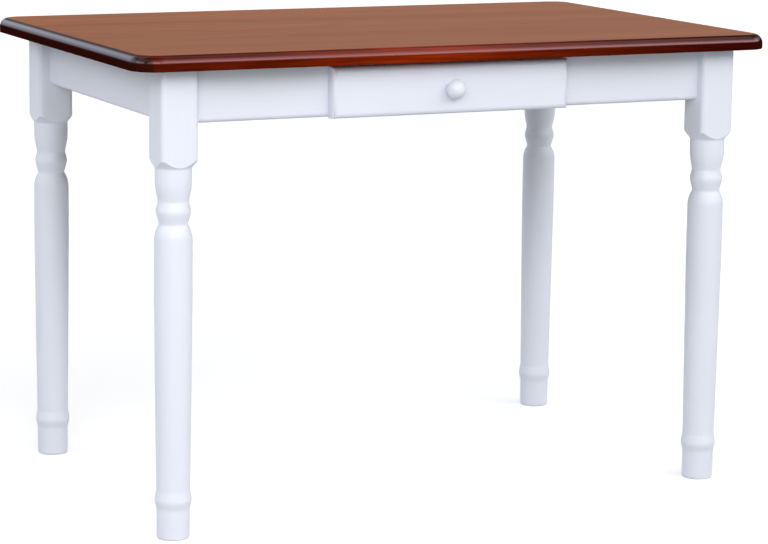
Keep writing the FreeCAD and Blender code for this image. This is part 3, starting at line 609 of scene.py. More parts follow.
@dataclass(frozen=True)
class ZincSteel(Finish):
    """Zinc plated steel with a faint grain and cloudy sheen."""

    title: ClassVar[str] = "zinc_steel"
    grained: ClassVar[bool] = False
    bright: Colour = (0.640, 0.660, 0.680)
    dull: Colour = (0.470, 0.480, 0.480)
    clouds: float = 240.0        # noises, per metre
    specks: float = 2400.0
    dull_share: Span = (0.35, 0.65, 0.0, 1.0)
    roughness: Span = (0.3, 0.7, 0.26, 0.44)
    relief: tuple[float, float] = (0.02 * MM, 0.4)   # height and strength

    def dress(self, shader: Shader, along: Socket) -> None:
        """Writes the finish.

        Args:
            shader: the empty material.
            along: object coordinates.
        """
        clouds = shader.noise(along, self.clouds, 3.0).outputs["Fac"]
        specks = shader.noise(along, self.specks, 2.0).outputs["Fac"]
        share = shader.span(clouds, self.dull_share)
        shader.finish(
            Base_Color=shader.mix(share, colour(self.bright), colour(self.dull)),
            Roughness=shader.span(clouds, self.roughness),
            Normal=shader.bump(specks, *self.relief), Metallic=1.0,
        )


class Wardrobe:
    """Every finish, written once for each direction of grain that asks for it."""

    FINISHES: dict[Slot, Finish] = {
        Slot.TOP: StainedPine(),
        Slot.PAINT: WhitePaint(),
        Slot.PINE: BarePine(),
        Slot.DOWEL: Beech(),
        Slot.PANEL: Hardboard(),
        Slot.STEEL: ZincSteel(),
    }

    def __init__(self) -> None:
        """Starts with nothing written."""
        self.written: dict[tuple[Slot, Grain], bpy.types.Material] = {}

    def material(self, slot: Slot, grain: Grain) -> bpy.types.Material:
        """Gives a slot's material.

        Args:
            slot: the slot.
            grain: direction of the fibres.

        Returns:
            The material, written now if nothing has asked for it before.
        """
        key = (slot, grain)
        if key not in self.written:
            self.written[key] = self.FINISHES[slot].material(grain)
        return self.written[key]


# ---------------------------------------------------------------- mesh helpers
def bevel(bm: BMesh, geometry: Iterable[Any], width: float, segments: int, affect: str = "EDGES") -> None:
    """Rounds edges or corner points.

    Args:
        bm: mesh to work on.
        geometry: the edges or points.
        width: size of the rounding.
        segments: facets across it.
        affect: EDGES or VERTICES.
    """
    bmesh.ops.bevel(
        bm, geom=list(geometry), offset=width, offset_type="OFFSET", segments=segments,
        profile=0.5, affect=affect, clamp_overlap=True, material=-1,
    )


def sand_edges(bm: BMesh, width: float = SOFT_EDGE) -> None:
    """Rounds every sharp edge a little."""
    sharp = [edge for edge in bm.edges if edge.is_manifold and edge.calc_face_angle(0.0) > CRISP_ANGLE]
    bevel(bm, sharp, width, SOFT_STEPS)


def mend(bm: BMesh) -> None:
    """Closes doubled points and turns every face outwards."""
    bmesh.ops.remove_doubles(bm, verts=bm.verts, dist=MERGE)
    bmesh.ops.recalc_face_normals(bm, faces=bm.faces)


def to_mesh(bm: BMesh, name: str) -> bpy.types.Mesh:
    """Turns a bmesh, which is freed, into a mesh.

    Args:
        bm: the bmesh.
        name: name of the mesh.

    Returns:
        The mesh.
    """
    mesh = bpy.data.meshes.new(name)
    bm.to_mesh(mesh)
    bm.free()
    return mesh


def block(low: Vector, high: Vector) -> BMesh:
    """Makes a box.

    Args:
        low: its lowest corner.
        high: its highest corner.

    Returns:
        The box.
    """
    bm = bmesh.new()
    size = high - low
    place = Matrix.Translation((low + high) / 2) @ Matrix.Diagonal((*size, 1.0))
    bmesh.ops.create_cube(bm, size=1.0, matrix=place)
    return bm


def copy_of_node(node: str) -> BMesh:
    """Copies a CAD node.

    Args:
        node: the node's name.

    Returns:
        A closed copy with its flat faces whole.
    """
    bm = bmesh.new()
    bm.from_mesh(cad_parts[node].data)
    bmesh.ops.remove_doubles(bm, verts=bm.verts, dist=MERGE)
    bmesh.ops.dissolve_limit(bm, angle_limit=FLAT_ANGLE, verts=bm.verts, edges=bm.edges)
    return bm


def boolean(first: bpy.types.Mesh, second: bpy.types.Mesh, operation: str) -> bpy.types.Mesh:
    """Cuts or intersects one mesh with another.

    Args:
        first: mesh that is kept or cut.
        second: mesh that cuts it.
        operation: INTERSECT or DIFFERENCE.

    Returns:
        A new mesh.

    Raises:
        ValueError: nothing is left of the mesh.
    """
    pair = [bpy.data.objects.new(mesh.name, mesh) for mesh in (first, second)]
    for one in pair:
        bpy.context.scene.collection.objects.link(one)
    cut = pair[0].modifiers.new("cut", "BOOLEAN")
    cut.object = pair[1]
    cut.operation = operation
    cut.solver = "EXACT"
    cut.use_self = True      # a cutter's own boxes may cross
    graph = bpy.context.evaluated_depsgraph_get()
    result = bpy.data.meshes.new_from_object(pair[0].evaluated_get(graph))
    for one in pair:
        bpy.data.objects.remove(one)
    if not result.polygons:
        raise ValueError(f"nothing left of {first.name} after {operation}")
    return result


class HalfOutline:
    """Half outline of a turned piece, as radius and height, drawn point by point."""

    ARC_STEP = math.radians(9)   # widest facet along an arc
    CORNER_STEPS = 4             # facets across a softened corner

    def __init__(self, radius: float, height: float) -> None:
        """Starts at a point."""
        self.points = [(radius, height)]
        self.corners: dict[int, float] = {}

    def line(self, radius: float, height: float, corner: float = 0.0) -> None:
        """Straight run to a point.

        Args:
            radius: radius of the point.
            height: height of the point.
            corner: share of the outline's rounding that the point gets.
        """
        self.points.append((radius, height))
        self.mark(corner)

    def mark(self, corner: float) -> None:
        """Gives the last point a share of the outline's rounding, if that isn't 0."""
        if corner:
            self.corners[len(self.points) - 1] = corner

    def arc(self, middle: tuple[float, float], radius: float, height: float, corner: float = 0.0) -> None:
        """Arc through a middle point to an end point.

        Args:
            middle: radius and height of the middle point.
            radius: radius of the end point.
            height: height of the end point.
            corner: share of the outline's rounding that the end point gets.
        """
        first, through, last = Vector(self.points[-1]), Vector(middle), Vector((radius, height))
        centre = circle_centre(first, through, last)
        start = math.atan2(*(first - centre).yx)
        turn = math.remainder(math.atan2(*(last - centre).yx) - start, FULL_TURN)
        reach = (first - centre).length
        steps = max(3, math.ceil(abs(turn) / self.ARC_STEP))
        for step in range(1, steps + 1):
            angle = start + turn * step / steps
            self.points.append((centre.x + reach * math.cos(angle), centre.y + reach * math.sin(angle)))
        self.mark(corner)

    def spun(self, softened: float = 0.0, steps: int = TURNED_STEPS) -> BMesh:
        """Closed solid turned about the Z axis.

        Args:
            softened: rounding of the marked corners.
            steps: facets round the axis.

        Returns:
            The solid, with its faces outwards.
        """
        bm = bmesh.new()
        verts = [bm.verts.new((radius, 0.0, height)) for radius, height in self.points]
        for pair in zip(verts, verts[1:]):
            bm.edges.new(pair)
        for index, share in self.corners.items() if softened else ():
            bevel(bm, [verts[index]], softened * share, self.CORNER_STEPS, "VERTICES")
        bmesh.ops.spin(
            bm, geom=bm.verts[:] + bm.edges[:], cent=(0, 0, 0), axis=(0, 0, 1), dvec=(0, 0, 0),
            angle=FULL_TURN, steps=steps, use_merge=True, use_duplicate=False,
        )
        mend(bm)
        return bm


def circle_centre(first: Vector, second: Vector, third: Vector) -> Vector:
    """Finds the circle through three points of a plane.

    Args:
        first: a point.
        second: another.
        third: and another, not in line with them.

    Returns:
        The circle's centre.
    """
    one, two = second - first, third - first
    cross = 2 * (one.x * two.y - one.y * two.x)
    across = (two.y * one.length_squared - one.y * two.length_squared) / cross
    along = (one.x * two.length_squared - two.x * one.length_squared) / cross
    return first + Vector((across, along))


# ---------------------------------------------------------------- the workshop
class Workshop:
    """Turns meshes into finished pieces of the table."""

    def __init__(self, wardrobe: Wardrobe) -> None:
        """Works with one set of finishes."""
        self.wardrobe = wardrobe

    def publish(
        self, node: str, mesh: bpy.types.Mesh, body: Body, slot: Slot, grain: Grain = Grain.LENGTH,
    ) -> None:
        """Makes a mesh the piece of the table that stands for a CAD node.

        Args:
            node: the node's name.
            mesh: the piece's mesh, in place.
            body: body that it rides on.
            slot: material slot that dresses it.
            grain: direction of its fibres.
        """
        name = node + "_finished"
        mesh.shade_smooth()
        mesh.set_sharp_from_angle(angle=SHARP_ANGLE)
        piece = bpy.data.objects.new(name, mesh)
        bpy.context.scene.collection.objects.link(piece)
        mesh.materials.clear()
        mesh.materials.append(self.wardrobe.material(slot, grain))
        normals = piece.modifiers.new("even_normals", "WEIGHTED_NORMAL")
        normals.keep_sharp = True
        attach(piece, body.value)
        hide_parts(node)
        LOG.info("%s: %d faces on %s", name, len(mesh.polygons), body.value)

    def dress_node(self, node: str, slot: Slot, grain: Grain) -> None:
        """Gives a CAD node that nothing replaces its finish.

        Args:
            node: the node's name.
            slot: material slot that dresses it.
            grain: direction of its fibres.
        """
        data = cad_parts[node].data
        data.materials.clear()
        data.materials.append(self.wardrobe.material(slot, grain))
        LOG.info("%s: CAD node dressed in %s", node, slot.value)

    def soften_node(self, node: str, body: Body, slot: Slot, grain: Grain, width: float = SOFT_EDGE) -> None:
        """Replaces a CAD node by a copy of it with sanded edges.

        Args:
            node: the node's name.
            body: body that it rides on.
            slot: material slot that dresses it.
            grain: direction of its fibres.
            width: rounding of its edges.
        """
        bm = copy_of_node(node)
        sand_edges(bm, width)
        self.publish(node, to_mesh(bm, node), body, slot, grain)


# ---------------------------------------------------------------- table top
@dataclass
class TableTop:
    """Board with an upright band under a large rounding, and rounded corners."""

    shop: Workshop
    corner_radius: float = 42 * MM
    edge_round: float = 15 * MM   # large rounding above the upright band
    arris: float = 1.5 * MM       # small rounding along the underside
    corner_steps: int = 14
    round_steps: int = 12

    def plan(self, low: Vector, high: Vector) -> BMesh:
        """Makes a flat sheet with rounded corners, as the board's outline.

        Args:
            low: a corner of the sheet.
            high: the opposite corner, as high.

        Returns:
            The sheet.
        """
        bm = bmesh.new()
        size = high - low
        place = Matrix.Translation((low + high) / 2) @ Matrix.Diagonal((size.x, size.y, 1.0, 1.0))
        bmesh.ops.create_grid(bm, x_segments=1, y_segments=1, size=0.5, matrix=place)
        bevel(bm, bm.verts, self.corner_radius, self.corner_steps, "VERTICES")
        return bm

    @staticmethod
    def step(bm: BMesh, face: BMFace, inset: float, rise: float) -> None:
        """Makes a face smaller while it moves outwards.

        Args:
            bm: mesh to work on.
            face: the face.
            inset: how far its rim moves inwards.
            rise: how far it moves outwards.
        """
        bmesh.ops.inset_region(
            bm, faces=[face], thickness=inset, depth=rise, use_boundary=True, use_even_offset=True,
        )

    def rounded(self, bm: BMesh, face: BMFace, radius: float) -> None:
        """Makes a quarter round from a face's rim inwards, starting from an upright wall.

        Args:
            bm: mesh to work on.
            face: the face.
            radius: radius of the rounding.
        """
        for index in range(self.round_steps):
            start = RIGHT_ANGLE * index / self.round_steps
            end = RIGHT_ANGLE * (index + 1) / self.round_steps
            inset = radius * (math.cos(start) - math.cos(end))
            self.step(bm, face, inset, radius * (math.sin(end) - math.sin(start)))

    def build(self) -> None:
        """Makes the board and its finish."""
        low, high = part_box("table_top")
        start = low.z + self.arris
        bm = self.plan(Vector((low.x, low.y, start)), Vector((high.x, high.y, start)))
        bottom = bm.faces[:][0]
        raised = bmesh.ops.extrude_face_region(bm, geom=[bottom], use_keep_orig=True)
        top = [item for item in raised["geom"] if isinstance(item, BMFace)][0]
        band = high.z - low.z - self.edge_round - self.arris
        bmesh.ops.translate(bm, verts=top.verts, vec=(0, 0, band))
        bmesh.ops.recalc_face_normals(bm, faces=bm.faces)
        self.rounded(bm, bottom, self.arris)
        self.rounded(bm, top, self.edge_round)
        mend(bm)
        self.shop.publish("table_top", to_mesh(bm, "table_top"), Body.TABLE, Slot.TOP)


# ---------------------------------------------------------------- legs
@dataclass
class TurnedLeg:
    """Leg with a square block above a turned cup, bead, shaft, ring and foot."""

    shop: Workshop
    # heights of the block and, from it down, of what the turning shapes
    block_length: float = 138 * MM
    edge_radius: float = 7.5 * MM  # rounding of the block's upright edges
    cone: float = 13 * MM
    cup_straight: float = 19 * MM
    cup_round: float = 17 * MM
    cup_taper: float = 15 * MM
    bead_rise: float = 9.5 * MM
    bead_crest: float = 11 * MM
    bead_fall: float = 15 * MM
    shoulder_flare: float = 7.5 * MM
    shoulder_round: float = 15.5 * MM
    shaft_straight: float = 90 * MM
    ring: float = 23 * MM
    ring_crest: float = 8.5 * MM
    foot: float = 53 * MM
    foot_cove: float = 7.5 * MM    # hollow between the foot and its ring
    foot_chamfer: float = 1.5 * MM
    softened: float = 2.2 * MM     # paint and sanding round every turned corner
    # depth of each turned cut below the face of the blank
    cup_cut: float = 1.7 * MM
    cup_middle_cut: float = 2.1 * MM
    cup_round_cut: float = 3.2 * MM
    upper_groove_cut: float = 6.4 * MM
    bead_top_cut: float = 4.2 * MM
    bead_cut: float = 3.1 * MM
    bead_foot_cut: float = 3.8 * MM
    lower_groove_cut: float = 8.0 * MM
    shoulder_cut: float = 4.2 * MM
    shoulder_middle_cut: float = 1.7 * MM
    shaft_cut: float = 0.6 * MM
    shaft_foot_cut: float = 3.8 * MM
    ring_cut: float = 1.2 * MM
    ring_side_cut: float = 1.7 * MM
    cove_cut: float = 2.7 * MM
    cove_middle_cut: float = 3.75 * MM
    foot_top_cut: float = 4.2 * MM
    foot_cut: float = 4.6 * MM

    def outline(self, half: float, height: float) -> HalfOutline:
        """Half outline of the turning, with its block left round.

        Args:
            half: half the side of the blank.
            height: height of the leg.

        Returns:
            The outline, from the foot up.
        """
        corner = (half - self.edge_radius) * math.sqrt(2) + self.edge_radius
        block_end = height - self.block_length
        cup_top = block_end - self.cone
        cup_edge = cup_top - self.cup_straight
        cup_taper = cup_edge - self.cup_round
        upper_groove = cup_taper - self.cup_taper
        bead_top = upper_groove - self.bead_rise
        bead_foot = bead_top - self.bead_crest
        lower_groove = bead_foot - self.bead_fall
        shoulder = lower_groove - self.shoulder_flare
        shaft_top = shoulder - self.shoulder_round
        slope = (corner - half + self.cup_cut) / self.cone
        beyond = self.cone / 2
        leg = HalfOutline(0.0, 0.0)
        leg.line(half - self.foot_cut - self.foot_chamfer, 0.0)
        leg.line(half - self.foot_cut, self.foot_chamfer, 1.0)
        leg.line(half - self.foot_top_cut, self.foot - self.foot_cove)
        cove_middle = (half - self.cove_middle_cut, self.foot - self.foot_cove / 2)
        leg.arc(cove_middle, half - self.cove_cut, self.foot)
        ring_side = (half - self.ring_side_cut, self.foot + self.ring_crest / 2)
        leg.arc(ring_side, half - self.ring_cut, self.foot + self.ring_crest, 1.0)
        leg.line(half - self.shaft_foot_cut, self.foot + self.ring, 1.0)
        leg.line(half - self.shaft_cut, shaft_top - self.shaft_straight)
        leg.line(half - self.shaft_cut, shaft_top)
        shoulder_middle = (half - self.shoulder_middle_cut, (shaft_top + shoulder) / 2)
        leg.arc(shoulder_middle, half - self.shoulder_cut, shoulder)
        leg.line(half - self.lower_groove_cut, lower_groove, 1.0)
        leg.line(half - self.bead_foot_cut, bead_foot, 1.0)
        bead_middle = (half - self.bead_cut, bead_foot + self.bead_crest / 2)
        leg.arc(bead_middle, half - self.bead_top_cut, bead_top, 1.0)
        leg.line(half - self.upper_groove_cut, upper_groove, 1.0)
        leg.line(half - self.cup_round_cut, cup_taper, 1.0)
        cup_middle = (half - self.cup_middle_cut, (cup_taper + cup_edge) / 2)
        leg.arc(cup_middle, half - self.cup_cut, cup_edge)
        leg.line(half - self.cup_cut, cup_top, 1.0)
        leg.line(corner + beyond, block_end + beyond / slope)
        leg.line(corner + beyond, height)
        leg.line(0.0, height)
        return leg

    def blank(self, half: float, height: float) -> bpy.types.Mesh:
        """Makes the square blank, with its upright edges rounded.

        Args:
            half: half its side.
            height: height of the leg.

        Returns:
            The blank, which reaches below the floor.
        """
        bm = block(Vector((-half, -half, -half)), Vector((half, half, height)))
        upright = [edge for edge in bm.edges if abs(edge.verts[0].co.z - edge.verts[1].co.z) > half]
        bevel(bm, upright, self.edge_radius, ROUND_STEPS)
        return to_mesh(bm, "blank")

    def build(self) -> None:
        """Turns one leg and sets a copy of it under each corner."""
        names = ("leg_front_left", "leg_front_right", "leg_back_left", "leg_back_right")
        low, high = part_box(names[0])
        half, height = (high.x - low.x) / 2, high.z
        turned = to_mesh(self.outline(half, height).spun(self.softened), "turned")
        leg = boolean(turned, self.blank(half, height), "INTERSECT")
        for name in names:
            low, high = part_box(name)
            middle = (low + high) / 2
            placed = leg.copy()
            placed.transform(Matrix.Translation((middle.x, middle.y, 0.0)))
            self.shop.publish(name, placed, Body.TABLE, Slot.PAINT, Grain.HEIGHT)


# ---------------------------------------------------------------- aprons
@dataclass
class Aprons:
    """Four boards between the legs, the front one with the drawer's window."""

    shop: Workshop
    lower_round: float = 8 * MM
    window_sill: float = 12 * MM  # board left below the window
    window_side: float = 3 * MM   # room left beside the drawer
    window_head: float = 5 * MM   # and over it

    def board(self, node: str, outward: Vector) -> BMesh:
        """Makes a board with its lower outer edge rounded.

        Args:
            node: CAD node that gives its size.
            outward: direction in which its outer face looks.

        Returns:
            The board.
        """
        low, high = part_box(node)
        bm = block(low, high)
        middle = (low + high) / 2

        def is_lower_outer(edge: BMEdge) -> bool:
            """Whether both ends of an edge lie low and outside."""
            return all(vert.co.z < middle.z and (vert.co - middle).dot(outward) > 0 for vert in edge.verts)

        bevel(bm, filter(is_lower_outer, bm.edges), self.lower_round, ROUND_STEPS)
        return bm

    def cut_window(self, bm: BMesh) -> None:
        """Opens the window that the drawer runs through.

        Args:
            bm: the front board.
        """
        low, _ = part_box("apron_front")
        left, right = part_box("drawer_side_left"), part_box("drawer_side_right")
        x0, x1 = left[0].x - self.window_side, right[1].x + self.window_side
        z0, z1 = low.z + self.window_sill, left[1].z + self.window_head
        across, upwards = (1, 0, 0), (0, 0, 1)
        cuts = (((x0, 0, 0), across), ((x1, 0, 0), across), ((0, 0, z0), upwards), ((0, 0, z1), upwards))
        for place, way in cuts:
            whole = bm.verts[:] + bm.edges[:] + bm.faces[:]
            bmesh.ops.bisect_plane(bm, geom=whole, plane_co=place, plane_no=way)

        def in_window(face: BMFace) -> bool:
            """Whether a face fills the window in the front or back of the board."""
            centre = face.calc_center_median()
            return x0 < centre.x < x1 and z0 < centre.z < z1 and abs(face.normal.y) > 0.5

        doomed = [face for face in bm.faces if in_window(face)]
        rims = {edge for face in doomed for edge in face.edges}
        bmesh.ops.delete(bm, geom=doomed, context="FACES_ONLY")
        bmesh.ops.bridge_loops(bm, edges=list(rims))
        bmesh.ops.dissolve_limit(bm, angle_limit=FLAT_ANGLE, verts=bm.verts, edges=bm.edges)
        mend(bm)

    def build(self) -> None:
        """Makes the four boards."""
        outwards = {
            "apron_front": (Vector((0, -1, 0)), Grain.LENGTH),
            "apron_back": (Vector((0, 1, 0)), Grain.LENGTH),
            "apron_left": (Vector((-1, 0, 0)), Grain.DEPTH),
            "apron_right": (Vector((1, 0, 0)), Grain.DEPTH),
        }
        for node, (outward, grain) in outwards.items():
            bm = self.board(node, outward)
            if node == "apron_front":
                self.cut_window(bm)
            sand_edges(bm)
            self.shop.publish(node, to_mesh(bm, node), Body.TABLE, Slot.PAINT, grain)


# ---------------------------------------------------------------- drawer
@dataclass
class Drawer:
    """Overlay front with a turned knob, before a box with finger joints."""

    shop: Workshop
    front_round: float = 9 * MM
    knob_foot: float = 8.5 * MM
    knob_neck_radius: float = 7.5 * MM
    knob_neck: float = 4 * MM
    knob_widest: float = 10.5 * MM
    knob_rim: float = 6 * MM
    knob_softened: float = 1.2 * MM
    knob_steps: int = 64          # facets round the knob
    side_edge: float = 0.4 * MM   # rounding of the sides' edges
    back_edge: float = 0.3 * MM   # and of the back's and the bottom's

    def front(self) -> None:
        """Board with its four outer edges rounded."""
        low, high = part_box("drawer_front")
        bm = block(low, high)
        outer = [edge for edge in bm.edges if all(abs(vert.co.y - low.y) < MERGE for vert in edge.verts)]
        bevel(bm, outer, self.front_round, ROUND_STEPS)
        sand_edges(bm)
        self.shop.publish("drawer_front", to_mesh(bm, "drawer_front"), Body.DRAWER, Slot.PAINT)

    def knob(self) -> None:
        """Knob with a tapered neck, a flared underside and a domed face."""
        low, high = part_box("knob")
        radius, length = (high.x - low.x) / 2, high.y - low.y
        rim_radius, rim_height = radius - self.knob_rim, self.knob_widest
        across, rise = rim_radius - self.knob_neck_radius, rim_height - self.knob_neck
        flare = math.sqrt(across ** 2 + rise ** 2 - self.knob_rim ** 2)
        angle = math.atan2(rise, across) - math.atan2(self.knob_rim, flare)
        reach = length - self.knob_rim
        dome = (reach ** 2 - rim_radius ** 2 - rim_height ** 2) / (2 * (reach - rim_height))
        share = self.knob_rim / math.hypot(rim_radius, rim_height - dome)
        knob = HalfOutline(0.0, 0.0)
        knob.line(self.knob_foot, 0.0)
        knob.line(self.knob_neck_radius, self.knob_neck, 1.0)
        knob.line(self.knob_neck_radius + flare * math.cos(angle), self.knob_neck + flare * math.sin(angle))
        dome_edge = (rim_radius * (1 + share), rim_height + (rim_height - dome) * share)
        knob.arc((radius, rim_height), *dome_edge)
        tilt = math.atan2(dome_edge[1] - dome, dome_edge[0])
        halfway = (tilt + RIGHT_ANGLE) / 2
        dome_radius = length - dome
        knob.arc((dome_radius * math.cos(halfway), dome + dome_radius * math.sin(halfway)), 0.0, length)
        bm = knob.spun(self.knob_softened, self.knob_steps)
        place = Matrix.Translation(((low.x + high.x) / 2, high.y, (low.z + high.z) / 2))
        bmesh.ops.transform(bm, matrix=place @ Matrix.Rotation(RIGHT_ANGLE, 4, "X"), verts=bm.verts)
        self.shop.publish("knob", to_mesh(bm, "knob"), Body.DRAWER, Slot.PAINT, Grain.DEPTH)

    def build(self) -> None:
        """Makes the drawer."""
        self.front()
        self.knob()
        for node in ("drawer_side_left", "drawer_side_right"):
            self.shop.soften_node(node, Body.DRAWER, Slot.PINE, Grain.DEPTH, self.side_edge)
        self.shop.soften_node("drawer_back", Body.DRAWER, Slot.PINE, Grain.LENGTH, self.back_edge)
        self.shop.soften_node("drawer_bottom", Body.DRAWER, Slot.PANEL, Grain.LENGTH, self.back_edge)
        self.shop.dress_node("drawer_front_dowels", Slot.DOWEL, Grain.DEPTH)


# ---------------------------------------------------------------- rails and blocks
@dataclass
class InnerWork:
    """Rails, strips, blocks and dowels inside the frame."""

    shop: Workshop
    block_edge: float = 0.8 * MM  # rounding of the corner blocks' edges

    def build(self) -> None:
        """Makes every inner wooden piece."""
        for side in ("left", "right"):
            self.shop.soften_node("runner_" + side, Body.TABLE, Slot.PINE, Grain.DEPTH)
            self.shop.soften_node("kicker_" + side, Body.TABLE, Slot.PINE, Grain.DEPTH)
        self.shop.soften_node("drawer_stop", Body.TABLE, Slot.PINE, Grain.LENGTH)
        grains = {
            "front_left": Grain.FALLING, "back_right": Grain.FALLING,
            "front_right": Grain.RISING, "back_left": Grain.RISING,
        }
        for corner, grain in grains.items():
            self.shop.soften_node("corner_block_" + corner, Body.TABLE, Slot.PINE, grain, self.block_edge)
        self.shop.dress_node("apron_dowels", Slot.DOWEL, Grain.LENGTH)
        self.shop.dress_node("runner_dowels", Slot.DOWEL, Grain.DEPTH)


# ---------------------------------------------------------------- fasteners
@dataclass
class Shank:
    """Where one fastener of a CAD group lies."""

    head: Vector     # middle of the end that it starts from
    way: Vector      # from there to the other end
    length: float
    wide: float      # largest radius


def islands(node: str) -> list[list[Vector]]:
    """Takes a CAD node apart.

    Args:
        node: the node's name.

    Returns:
        Points of each separate solid, the solids in order of place.
    """
    bm = bmesh.new()
    bm.from_mesh(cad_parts[node].data)
    bmesh.ops.remove_doubles(bm, verts=bm.verts, dist=MERGE)
    left = set(bm.verts)
    found = []
    while left:
        group, queue = [], [left.pop()]
        while queue:
            vert = queue.pop()
            group.append(vert.co.copy())
            for edge in vert.link_edges:
                other = edge.other_vert(vert)
                if other in left:
                    left.remove(other)
                    queue.append(other)
        found.append(group)
    bm.free()
    return sorted(found, key=lambda points: tuple(round(value, 4) for value in points_middle(points)))


def points_box(points: Sequence[Vector]) -> tuple[Vector, Vector]:
    """Lowest and highest corner of the box round some points."""
    return tuple(Vector(end(point[axis] for point in points) for axis in range(3)) for end in (min, max))


def points_middle(points: Sequence[Vector]) -> Vector:
    """Middle of the box round some points."""
    low, high = points_box(points)
    return (low + high) / 2


def longest_axis(points: Sequence[Vector]) -> Vector:
    """Finds the axis of the frame along which some points reach furthest.

    Args:
        points: the points.

    Returns:
        The axis, one long.
    """
    low, high = points_box(points)
    reach = list(high - low)
    way = Vector((0, 0, 0))
    way[reach.index(max(reach))] = 1.0
    return way


def towards_middle(points: Sequence[Vector]) -> Vector:
    """Level direction at 45 degrees, from a table's corner to its middle."""
    middle = points_middle(points)
    return Vector((-math.copysign(1, middle.x), -math.copysign(1, middle.y), 0)).normalized()


def shank_of(points: Sequence[Vector], way: Vector, headed: bool = True) -> Shank:
    """Measures a round solid along an axis.

    Args:
        points: the solid's points.
        way: its axis; for a headed solid either way round.
        headed: whether it starts from its wider end.

    Returns:
        Where the solid lies.
    """
    middle = points_middle(points)
    heights = [(point - middle).dot(way) for point in points]
    radii = [((point - middle) - way * height).length for point, height in zip(points, heights)]
    low, high = min(heights), max(heights)
    near = (high - low) * END_SHARE

    def reach(level: float) -> float:
        """Largest radius of the solid's end at a level."""
        return max(radius for radius, height in zip(radii, heights) if abs(height - level) <= near)

    if headed and reach(low) < reach(high):
        return Shank(middle + way * high, -way, high - low, max(radii))
    return Shank(middle + way * low, way, high - low, max(radii))


def aimed(place: Vector, way: Vector) -> Matrix:
    """Transform that moves the origin to a place and turns +Z along a direction."""
    return Matrix.Translation(place) @ way.to_track_quat("Z", "Y").to_matrix().to_4x4()


